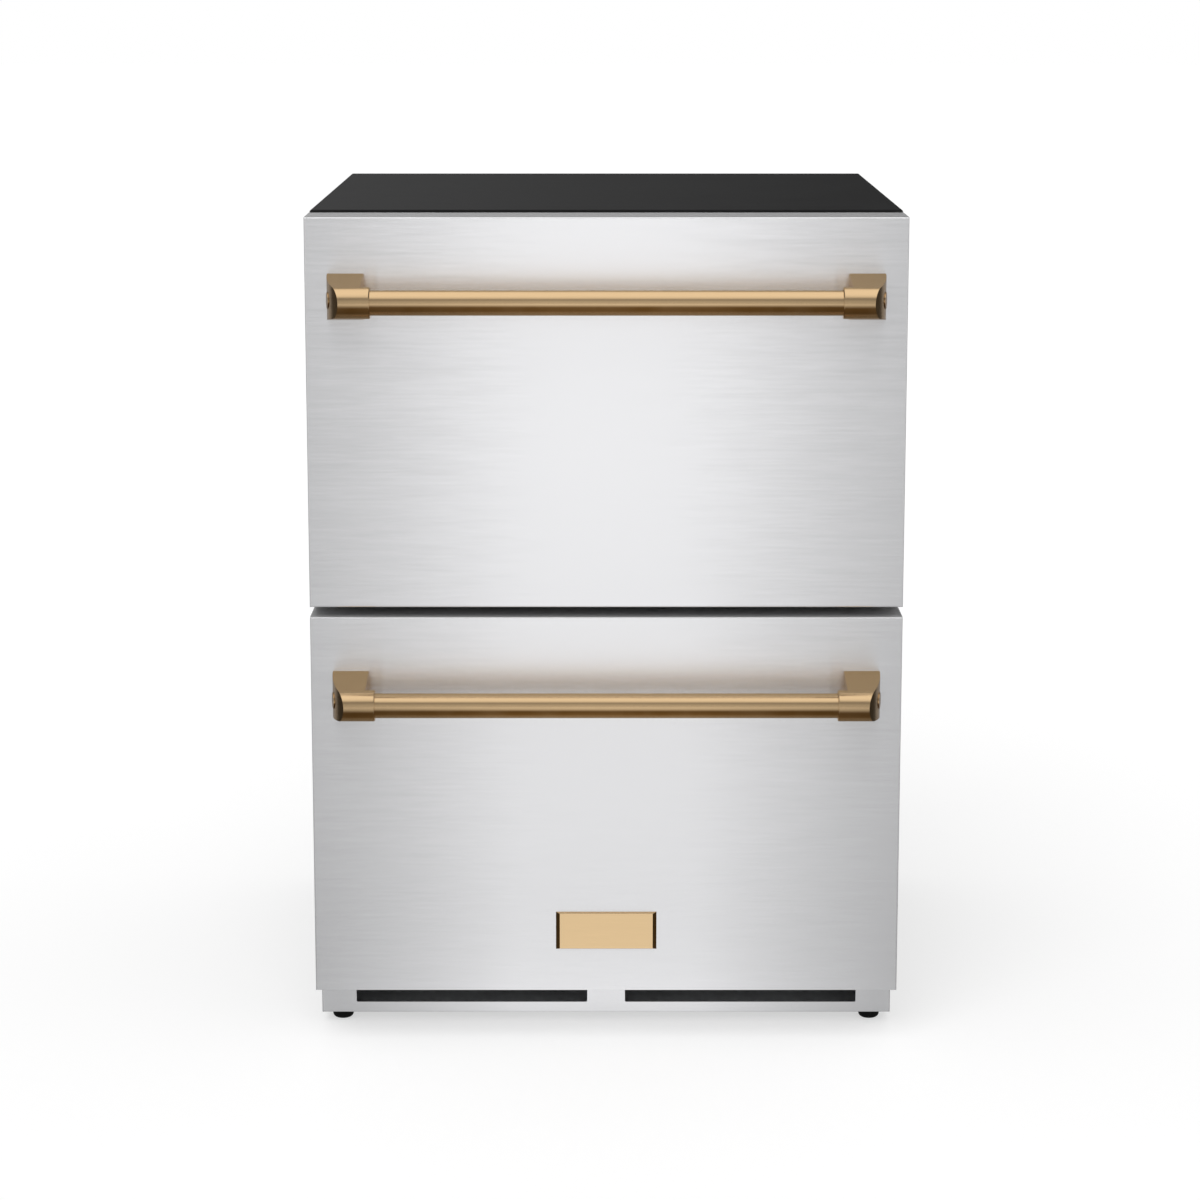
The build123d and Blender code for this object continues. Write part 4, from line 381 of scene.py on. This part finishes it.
def bronze_finish():
    """Satin bronze, with painted shade underneath and at the outer ends."""
    finish = Finish("champagne bronze", Metallic=1.0, Specular_Tint=(0.86, 0.78, 0.66, 1.0))
    grain = finish.group(BRUSHED, Coarse=(30.0, 900.0, 900.0), Fine=(90.0, 4200.0, 4200.0))
    handled = finish.group(HANDLED, Size=24.0)
    painted_shade = finish.group(BRONZE_SHADE)
    bronze_colour = finish.graph.tint(grain["Shade"], (0.53, 0.372, 0.205), (0.60, 0.425, 0.243))
    # painted shade: a dark brown underneath and at the outer ends
    finish.colour(painted_shade["Depth"], bronze_colour, (0.14, 0.066, 0.017))
    finish.roughness(handled["Smudge"], 0.17, 0.23)
    finish.bump(grain["Height"], 0.04, 0.05 * MM)
    return finish.material


def plate_finish():
    """Polished face, with painted shade on its bevels, darkest at its two ends."""
    finish = Finish("polished bronze plate", Metallic=1.0)
    graph = finish.graph
    grain = finish.group(BRUSHED, Coarse=(20.0, 900.0, 900.0), Fine=(60.0, 4200.0, 4200.0))
    facing = graph.parts(graph.facing())
    ends = graph.ease(graph.math("ABSOLUTE", facing["X"]), 0.0, 1.0, BEVEL_SLOPES)
    edges = graph.ease(graph.math("ABSOLUTE", facing["Z"]), 0.0, EDGE_DEPTH, BEVEL_SLOPES)
    face = graph.tint(grain["Shade"], (0.865, 0.62, 0.345), (0.97, 0.705, 0.41))
    # painted shade: dark brown on the bevels
    finish.colour(graph.math("MAXIMUM", ends, edges), face, (0.095, 0.048, 0.013))
    finish.roughness(grain["Shade"], 0.20, 0.28)
    return finish.material


def black_cabinet():
    """Matt black powder paint with a fine orange peel."""
    finish = Finish("matt black cabinet paint", Specular_IOR_Level=0.25)
    paint = finish.group(PAINTED)
    finish.colour(paint["Mottle"], (0.012, 0.012, 0.0125), (0.018, 0.018, 0.0185))
    finish.roughness(paint["Mottle"], 0.36, 0.44)
    finish.bump(paint["Height"], 0.25, 0.2 * MM)
    return finish.material


def galvanised_sheet():
    """Zinc-coated sheet with its spangle."""
    finish = Finish("galvanised sheet", Metallic=0.25)
    spangle = finish.graph.cells(finish.place, scale=190.0)["Color"]
    shade = finish.graph.add("ShaderNodeSeparateColor", {0: spangle}).outputs[0]
    finish.colour(shade, (0.56, 0.57, 0.58), (0.62, 0.63, 0.64))
    finish.roughness(shade, 0.36, 0.50)
    return finish.material


def insulating_foam():
    """Yellow foam with its cut cells."""
    finish = Finish("insulating foam")
    cells = finish.graph.cells(finish.place, scale=900.0)["Distance"]
    finish.colour(cells, (0.52, 0.42, 0.20), (0.80, 0.70, 0.42))
    finish.roughness(cells, 0.8, 0.95)
    finish.bump(cells, 0.5, 0.5 * MM)
    return finish.material


def moulded(name, dark, light, gloss=(0.3, 0.4), texture=700.0, relief=0.12, **plain):
    """Moulded plastic or rubber: a slow shift of colour and gloss over a fine tool texture."""
    finish = Finish(name, **plain)
    handled = finish.group(HANDLED)
    skin = finish.group(PAINTED, Peel=texture)
    finish.colour(handled["Smudge"], dark, light)
    finish.roughness(handled["Smudge"], *gloss)
    finish.bump(skin["Height"], relief, 0.2 * MM)
    return finish.material


def worked_metal(name, dark, light, gloss=(0.25, 0.4), metal=1.0):
    """Rolled, drawn or plated metal with fine working marks."""
    finish = Finish(name, Metallic=metal)
    grain = finish.group(BRUSHED, Coarse=(60.0, 900.0, 900.0))
    handled = finish.group(HANDLED, Size=30.0)
    finish.colour(grain["Shade"], dark, light)
    finish.roughness(handled["Smudge"], *gloss)
    finish.bump(grain["Height"], 0.06, 0.08 * MM)
    return finish.material


FINISHES = {
    "cabinet_black": black_cabinet(),
    "zinc_sheet": galvanised_sheet(),
    "front_steel": brushed_front(),
    "handle_brass": bronze_finish(),
    "liner_white": moulded("white liner plastic", (0.76, 0.78, 0.79), (0.82, 0.84, 0.85), (0.24, 0.34)),
    "bin_white": moulded("frosted bin plastic", (0.70, 0.75, 0.79), (0.78, 0.83, 0.86), (0.18, 0.28)),
    "foam": insulating_foam(),
    "gasket_grey": moulded("dark gasket vinyl", (0.018, 0.018, 0.020), (0.030, 0.030, 0.032), (0.5, 0.62)),
    "slide_zinc": worked_metal("zinc-plated slide", (0.58, 0.60, 0.63), (0.70, 0.71, 0.73), (0.34, 0.46),
                               metal=0.6),
    "screw_steel": worked_metal("plated screw", (0.48, 0.48, 0.50), (0.62, 0.62, 0.63), metal=0.8),
    # black plastic, painted darker still with the shade under the cabinet
    "foot_black": moulded("black foot plastic", grey(0.003), grey(0.006), (0.55, 0.65),
                          Specular_IOR_Level=0.15),
    "rubber_black": moulded("black rubber", grey(0.014), grey(0.022), (0.6, 0.75)),
    "compressor_black": moulded("black compressor enamel", (0.016, 0.016, 0.018), (0.026, 0.026, 0.028)),
    "coil_aluminium": worked_metal("coil aluminium", (0.62, 0.63, 0.65), (0.76, 0.77, 0.78)),
    "pipe_copper": worked_metal("drawn copper", (0.60, 0.27, 0.17), (0.74, 0.40, 0.27), (0.22, 0.36)),
    "fan_black": moulded("black fan plastic", (0.022, 0.022, 0.024), (0.034, 0.034, 0.036), (0.36, 0.48)),
    "motor_steel": worked_metal("motor can steel", (0.34, 0.35, 0.36), (0.48, 0.49, 0.50)),
    "tray_grey": moulded("grey tray plastic", (0.34, 0.35, 0.36), (0.42, 0.43, 0.44), (0.45, 0.55)),
    "display_black": moulded("display glass", (0.006, 0.006, 0.007), (0.010, 0.010, 0.012), (0.05, 0.1),
                             texture=90.0, relief=0.02),
    "lamp_white": moulded("lamp diffuser", (0.80, 0.80, 0.76), (0.88, 0.88, 0.84), (0.4, 0.5),
                          Emission_Color=(1.0, 0.98, 0.94, 1.0), Emission_Strength=0.5),
}
OWN_FINISHES = {"name_plate": plate_finish()}


def dress_nodes():
    """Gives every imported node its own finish, or else the finish of its material slot."""
    for row in frame["record"]["subparts"]:
        node = frame["nodes"][row["node"]]
        for place in node.material_slots:
            place.material = OWN_FINISHES.get(row["node"], FINISHES[row["material_slot"]])


def new_tree(name, inputs):
    """An empty geometry tree that takes points and named values: its graph and its inside ends."""
    tree = bpy.data.node_groups.new(name, "GeometryNodeTree")
    tree.interface.new_socket(name="Geometry", in_out="INPUT", socket_type="NodeSocketGeometry")
    for title, kind in inputs:
        tree.interface.new_socket(name=title, in_out="INPUT", socket_type=kind)
    tree.interface.new_socket(name="Geometry", in_out="OUTPUT", socket_type="NodeSocketGeometry")
    graph = Graph(tree)
    return graph, graph.add("NodeGroupInput").outputs, graph.add("NodeGroupOutput").inputs


def set_on_points(graph, given, result, instance, **turn):
    """Ends a tree: the instance on every given point, made one real mesh that wears the given finish."""
    points = graph.add("GeometryNodeMeshToPoints", {"Mesh": given["Geometry"]}).outputs["Points"]
    feeds = {"Points": points, "Instance": instance, **turn}
    placed = graph.add("GeometryNodeInstanceOnPoints", feeds).outputs["Instances"]
    real = graph.add("GeometryNodeRealizeInstances", {"Geometry": placed}).outputs["Geometry"]
    dressed = graph.add("GeometryNodeSetMaterial", {"Geometry": real, "Material": given["Finish"]})
    graph.feed(result["Geometry"], dressed.outputs["Geometry"])
    return graph.tree


def screws_tree():
    """Sets a screw on every point, facing out and turned at random about its axis."""
    inputs = [
        ("Screw", "NodeSocketObject"),
        ("Turn seed", "NodeSocketInt"),
        ("Finish", "NodeSocketMaterial"),
    ]
    graph, given, result = new_tree("screws set in place", inputs)
    screw = graph.add("GeometryNodeObjectInfo", {"Object": given["Screw"], "As Instance": True})
    facing = graph.add("GeometryNodeInputNamedAttribute", {"Name": "facing"}, data_type="FLOAT_VECTOR")
    feeds = {"Vector": facing.outputs["Attribute"]}
    outward = graph.add("FunctionNodeAlignRotationToVector", feeds, axis="Z").outputs["Rotation"]
    chance = graph.add("FunctionNodeRandomValue", {"Seed": given["Turn seed"]}, data_type="FLOAT")
    share = next(end for end in chance.outputs if end.type == "VALUE")
    feeds = {"Axis": (0, 0, 1), "Angle": graph.math("MULTIPLY", share, radians(SCREW_TURN))}
    turn = graph.add("FunctionNodeAxisAngleToRotation", feeds).outputs["Rotation"]
    feeds = {"Rotation": outward, "Rotate By": turn}
    turned = graph.add("FunctionNodeRotateRotation", feeds, rotation_space="LOCAL").outputs["Rotation"]
    return set_on_points(graph, given, result, screw.outputs["Geometry"], Rotation=turned)


def ribs_tree():
    """Lays an even row of low, round-topped ribs that run out to nothing at their ends."""
    inputs = [
        ("Length", "NodeSocketFloat"),
        ("Half width", "NodeSocketFloat"),
        ("Height", "NodeSocketFloat"),
        ("Finish", "NodeSocketMaterial"),
    ]
    graph, given, result = new_tree("ribs on a floor", inputs)
    ends = {}
    for title, share in (("Start", -0.5), ("End", 0.5)):
        reach = graph.math("MULTIPLY", given["Length"], share)
        ends[title] = graph.add("ShaderNodeCombineXYZ", {"Y": reach}).outputs["Vector"]
    line = graph.add("GeometryNodeCurvePrimitiveLine", ends).outputs["Curve"]
    line = graph.add("GeometryNodeResampleCurve", {"Curve": line, "Count": RIB_STEPS}).outputs["Curve"]
    along = graph.add("GeometryNodeSplineParameter").outputs["Factor"]
    swell = graph.math("MULTIPLY", along, graph.math("SUBTRACT", 1.0, along))
    swell = graph.math("SQRT", graph.math("MULTIPLY", swell, RIB_END_SWELL))
    swell = graph.math("MINIMUM", swell, 1.0)
    feeds = {"Resolution": RIB_SIDES, "Radius": 1.0}
    section = graph.add("GeometryNodeCurvePrimitiveCircle", feeds).outputs["Curve"]
    feeds = {"X": given["Half width"], "Y": given["Height"], "Z": 1.0}
    size = graph.add("ShaderNodeCombineXYZ", feeds).outputs["Vector"]
    section = graph.add("GeometryNodeTransform", {"Geometry": section, "Scale": size}).outputs["Geometry"]
    feeds = {"Curve": line, "Profile Curve": section, "Scale": swell, "Fill Caps": True}
    rib = graph.add("GeometryNodeCurveToMesh", feeds).outputs["Mesh"]
    return set_on_points(graph, given, result, rib)


def grown_piece(name, tree, places, values, body, slot, facings=None):
    """Runs a geometry tree on the given points and keeps the result as one plain mesh on a body."""
    guide_mesh = bpy.data.meshes.new(name + " places")
    guide_mesh.from_pydata(places, [], [])
    if facings:
        facing = guide_mesh.attributes.new("facing", "FLOAT_VECTOR", "POINT")
        facing.data.foreach_set("vector", [part for vector in facings for part in vector])
    guide = bpy.data.objects.new(name + " places", guide_mesh)
    bpy.context.scene.collection.objects.link(guide)
    modifier = guide.modifiers.new(tree.name, "NODES")
    modifier.node_group = tree
    for item in tree.interface.items_tree:
        if item.in_out == "INPUT" and item.name in values:
            modifier[item.identifier] = values[item.name]
    bpy.context.view_layer.update()
    depsgraph = bpy.context.evaluated_depsgraph_get()
    mesh = bpy.data.meshes.new_from_object(guide.evaluated_get(depsgraph), depsgraph=depsgraph)
    bpy.data.objects.remove(guide)
    return keep_piece(name, mesh, body, slot)


def keep_piece(name, mesh, body, slot):
    """Keeps a finished mesh as a piece that rides on a body and wears the finish of a slot."""
    mesh.materials.clear()
    mesh.materials.append(FINISHES[slot])
    work = bmesh.new()
    work.from_mesh(mesh)
    bmesh.ops.recalc_face_normals(work, faces=work.faces)
    work.to_mesh(mesh)
    work.free()
    mesh.name = name
    mesh.shade_smooth()
    piece = bpy.data.objects.new(name, mesh)
    bpy.context.scene.collection.objects.link(piece)
    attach(piece, body)
    return piece


def ring(work, radius, height, outline=(1.0,)):
    """A ring of vertices round Z; the outline gives each vertex's share of the radius in turn."""
    corners = []
    for index in range(SCREW_SIDES):
        angle = radians(index * 360 / SCREW_SIDES)
        reach = radius * outline[index % len(outline)]
        corners.append(work.verts.new((reach * cos(angle), reach * sin(angle), height)))
    return corners


def join_rings(work, lower, upper):
    """Four-cornered faces all round between two rings of equal length."""
    for index in range(len(lower)):
        after = (index + 1) % len(lower)
        work.faces.new((lower[index], lower[after], upper[after], upper[index]))


def cross_screw(radius):
    """A pan head with a cross recess, seated at Z 0."""
    work = bmesh.new()
    rings = [ring(work, radius * reach, SCREW_HEAD_HEIGHT * rise) for reach, rise in SCREW_ROUNDS]
    recess = radius * RECESS_REACH
    deep = SCREW_HEAD_HEIGHT * (1 - RECESS_DEPTH)
    rings.append(ring(work, recess, SCREW_HEAD_HEIGHT, RECESS_OUTLINE))
    rings.append(ring(work, recess * RECESS_TAPER, deep, RECESS_OUTLINE))
    for lower, upper in zip(rings, rings[1:]):
        join_rings(work, lower, upper)
    bottom = work.verts.new((0, 0, deep))
    for index, corner in enumerate(rings[-1]):
        work.faces.new((corner, rings[-1][(index + 1) % SCREW_SIDES], bottom))
    work.faces.new(list(reversed(rings[0])))
    mesh = bpy.data.meshes.new("cross screw")
    work.to_mesh(mesh)
    work.free()
    return bpy.data.objects.new("cross screw", mesh)


def loose_parts(node):
    """The corner boxes of a CAD node's separate solids."""
    work = bmesh.new()
    work.from_mesh(frame["nodes"][node].data)
    bmesh.ops.remove_doubles(work, verts=work.verts, dist=1e-6)
    left = set(work.verts)
    boxes = []
    while left:
        found = {left.pop()}
        edge = list(found)
        while edge:
            near = {link.other_vert(vert) for vert in edge for link in vert.link_edges} - found
            found |= near
            edge = list(near)
        left -= found
        axes = list(zip(*(vert.co for vert in found)))
        boxes.append((Vector(map(min, axes)), Vector(map(max, axes))))
    work.free()
    return sorted(boxes, key=lambda box: tuple(box[0]))


def add_panel_screws():
    """Cross-recess heads in place of the plain ones, which are all of one size."""
    heads = loose_parts("panel_screws")
    places = []
    facings = []
    for low, high in heads:
        middle = (low + high) / 2
        outward = 1 if middle.y > 0 else -1
        seat = (high.y if outward > 0 else low.y) - outward * SCREW_HEAD_HEIGHT
        places.append((middle.x, seat, middle.z))
        facings.append((0, outward, 0))
    low, high = heads[-1]
    screw = cross_screw((high.x - low.x) / 2)
    values = {"Screw": screw, "Turn seed": SCREW_TURN_SEED, "Finish": FINISHES["screw_steel"]}
    piece = grown_piece("cross_screw_heads", screws_tree(), places, values, "cabinet", "screw_steel",
                        facings)
    bpy.data.objects.remove(screw)
    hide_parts("panel_screws")


def reach_inside(node, start, direction):
    """Where a straight line from a free place inside a CAD node meets it."""
    hit, place, _, _ = frame["nodes"][node].ray_cast(start, direction)
    return place if hit else None


def floor_field(node, over):
    """The flat part of a bin's floor under a place in it: (left, right, front, rear, height)."""
    floor = reach_inside(node, over, Vector((0, 0, -1)))
    start = Vector((over.x, over.y, floor.z + RIB_WALL_CHECK))
    left = reach_inside(node, start, Vector((-1, 0, 0))).x
    right = reach_inside(node, start, Vector((1, 0, 0))).x
    front = reach_inside(node, start, Vector((0, -1, 0))).y
    rear = reach_inside(node, start, Vector((0, 1, 0))).y
    return left + RIB_MARGIN, right - RIB_MARGIN, front + RIB_MARGIN, rear - RIB_MARGIN, floor.z


def add_bin_ribs():
    """An even row of ribs over the flat part of each bin's floor."""
    tree = ribs_tree()
    for drawer in ("upper", "lower"):
        node = drawer + "_bin"
        low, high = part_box(node)
        back = low.y + (high.y - low.y) * FLOOR_CHECK_SHARE
        over = Vector(((low.x + high.x) / 2, back, high.z - RIB_WALL_CHECK))
        left, right, front, rear, floor = floor_field(node, over)
        count = int((right - left) / RIB_PITCH)
        first = (left + right - count * RIB_PITCH) / 2
        places = [(first + step * RIB_PITCH, (front + rear) / 2, floor) for step in range(count + 1)]
        values = {"Length": rear - front, "Half width": RIB_WIDTH / 2, "Height": RIB_HEIGHT,
                  "Finish": FINISHES["bin_white"]}
        grown_piece(drawer + "_bin_ribs", tree, places, values, drawer + "_drawer", "bin_white")


def add_camera():
    """The photograph's point of view, pitched down a little so that other views keep the object whole."""
    camera = bpy.data.cameras.new("photo camera")
    camera.sensor_width = SENSOR
    camera.lens = SENSOR * FOCAL_PIXELS / IMAGE_PIXELS
    camera.shift_y = CAMERA_SHIFT
    holder = bpy.data.objects.new("photo camera", camera)
    holder.location = (CAMERA_X, front_face - CAMERA_DISTANCE, front_top + CAMERA_RISE)
    holder.rotation_euler = (radians(90 - CAMERA_PITCH), 0, 0)
    bpy.context.scene.collection.objects.link(holder)
    bpy.context.scene.camera = holder


def ray_kinds(graph):
    """Two masks: rays that see the studio straight or through glass, and rays mirrored by metal."""
    path = graph.add("ShaderNodeLightPath").outputs
    seen = graph.math("MAXIMUM", path["Is Camera Ray"], path["Is Transmission Ray"])
    return seen, path["Is Glossy Ray"]


def floor_material():
    """White to the camera; in mirror reflections a little darker to the sides, with painted shade near the
    object.
    """
    finish = Finish("white studio floor", Roughness=0.9, Specular_IOR_Level=0.1, Emission_Strength=1.0)
    graph = finish.graph
    seen, mirrored = ray_kinds(graph)
    cloud = graph.noise(finish.place, scale=0.8)
    paint = graph.tint(cloud, *map(grey, FLOOR_PAINT))
    pale = graph.tint(seen, paint, grey(FLOOR_SEEN))
    finish.colour(mirrored, pale, grey(FLOOR_MIRRORED))
    glow = graph.math("MULTIPLY", seen, FLOOR_GLOW)
    finish.set("Emission Color", graph.mix(mirrored, glow, mirrored_floor(graph, finish.place)))
    return finish.material


def mirrored_floor(graph, place):
    """Brightness of the floor in a reflection: painted shade by distance from the object and behind the
    fronts, darker to the side.

    The fronts show it as it is seen from the camera's mirror image, as far behind them as it is before.
    """
    apart = graph.parts(place)
    # painted shade: the mirrored floor darkens near the object
    near = graph.level(FLOOR_LEVEL, graph.math("DIVIDE", graph.length(place), FLOOR_REACH))
    ahead = graph.math("SUBTRACT", front_face + CAMERA_DISTANCE, apart["Y"])
    ahead = graph.math("MAXIMUM", ahead, NEAREST_AHEAD)
    aside = graph.math("DIVIDE", graph.math("ABSOLUTE", apart["X"]), ahead)
    level = graph.math("MULTIPLY", near, graph.level(SIDE_LEVEL, aside))
    # painted shade: the mirrored floor darkens behind the fronts
    span = (front_face, front_face + FADE_DEPTH)
    peak = graph.spread(apart["Y"], FLOOR_PEAK, FLOOR_PEAK * DARKNESS_BEHIND, span)
    return graph.math("MULTIPLY", level, peak)


def add_floor():
    """A wide floor that the object stands on."""
    mesh = bpy.data.meshes.new("studio floor")
    half = FLOOR_SIZE / 2
    corners = [(-half, -half, 0), (half, -half, 0), (half, half, 0), (-half, half, 0)]
    mesh.from_pydata(corners, [], [(0, 1, 2, 3)])
    floor = bpy.data.objects.new("studio_floor", mesh)
    bpy.context.scene.collection.objects.link(floor)
    mesh.materials.append(floor_material())


def mirrored_room(graph):
    """Brightness of the room in a reflection: by height, and lower down also by side and behind."""
    apart = graph.parts(graph.add("ShaderNodeTexCoord").outputs["Generated"])
    side = graph.level(SIDE_LEVEL, graph.math("ABSOLUTE", apart["X"]))
    back = graph.spread(apart["X"], *BACK_LEVELS, (-BACK_TURN, BACK_TURN))
    low_down = graph.mix(graph.spread(apart["Y"], 0.0, 1.0, BEHIND), side, back)
    level = graph.mix(graph.spread(apart["Z"], 0.0, 1.0, OVERHEAD), low_down, 1.0)
    level = graph.math("MULTIPLY", level, graph.level(HEIGHT_LEVEL, apart["Z"]))
    return graph.math("MULTIPLY", level, ROOM_PEAK)


def light_studio():
    """White all round to the camera; polished metal mirrors the room of the steps above."""
    world = bpy.data.worlds.new("studio")
    world.use_nodes = True
    bpy.context.scene.world = world
    graph = Graph(world.node_tree)
    background = world.node_tree.nodes["Background"].inputs
    seen, mirrored = ray_kinds(graph)
    lit = graph.mix(mirrored, WORLD_FILL, mirrored_room(graph))
    graph.feed(background["Color"], graph.mix(seen, lit, 1.0))
    graph.feed(background["Strength"], 1.0)
    add_key_lamp()


def add_key_lamp():
    """The soft lamp, which neither the camera nor polished metal sees."""
    lamp = bpy.data.lights.new("key lamp", "SUN")
    lamp.energy = KEY_STRENGTH
    lamp.angle = radians(KEY_ANGLE)
    aside = KEY_DISTANCE * tan(radians(KEY_TURN))
    height = KEY_DISTANCE * tan(radians(KEY_ELEVATION))
    holder = bpy.data.objects.new("key lamp", lamp)
    holder.location = (-aside, -KEY_DISTANCE, height)
    holder.rotation_euler = (-holder.location).to_track_quat("-Z", "Y").to_euler()
    holder.visible_camera = False
    holder.visible_glossy = False
    bpy.context.scene.collection.objects.link(holder)


dress_nodes()
add_panel_screws()
add_bin_ribs()
add_camera()
add_floor()
light_studio()
bpy.context.scene.view_settings.view_transform = "Standard"
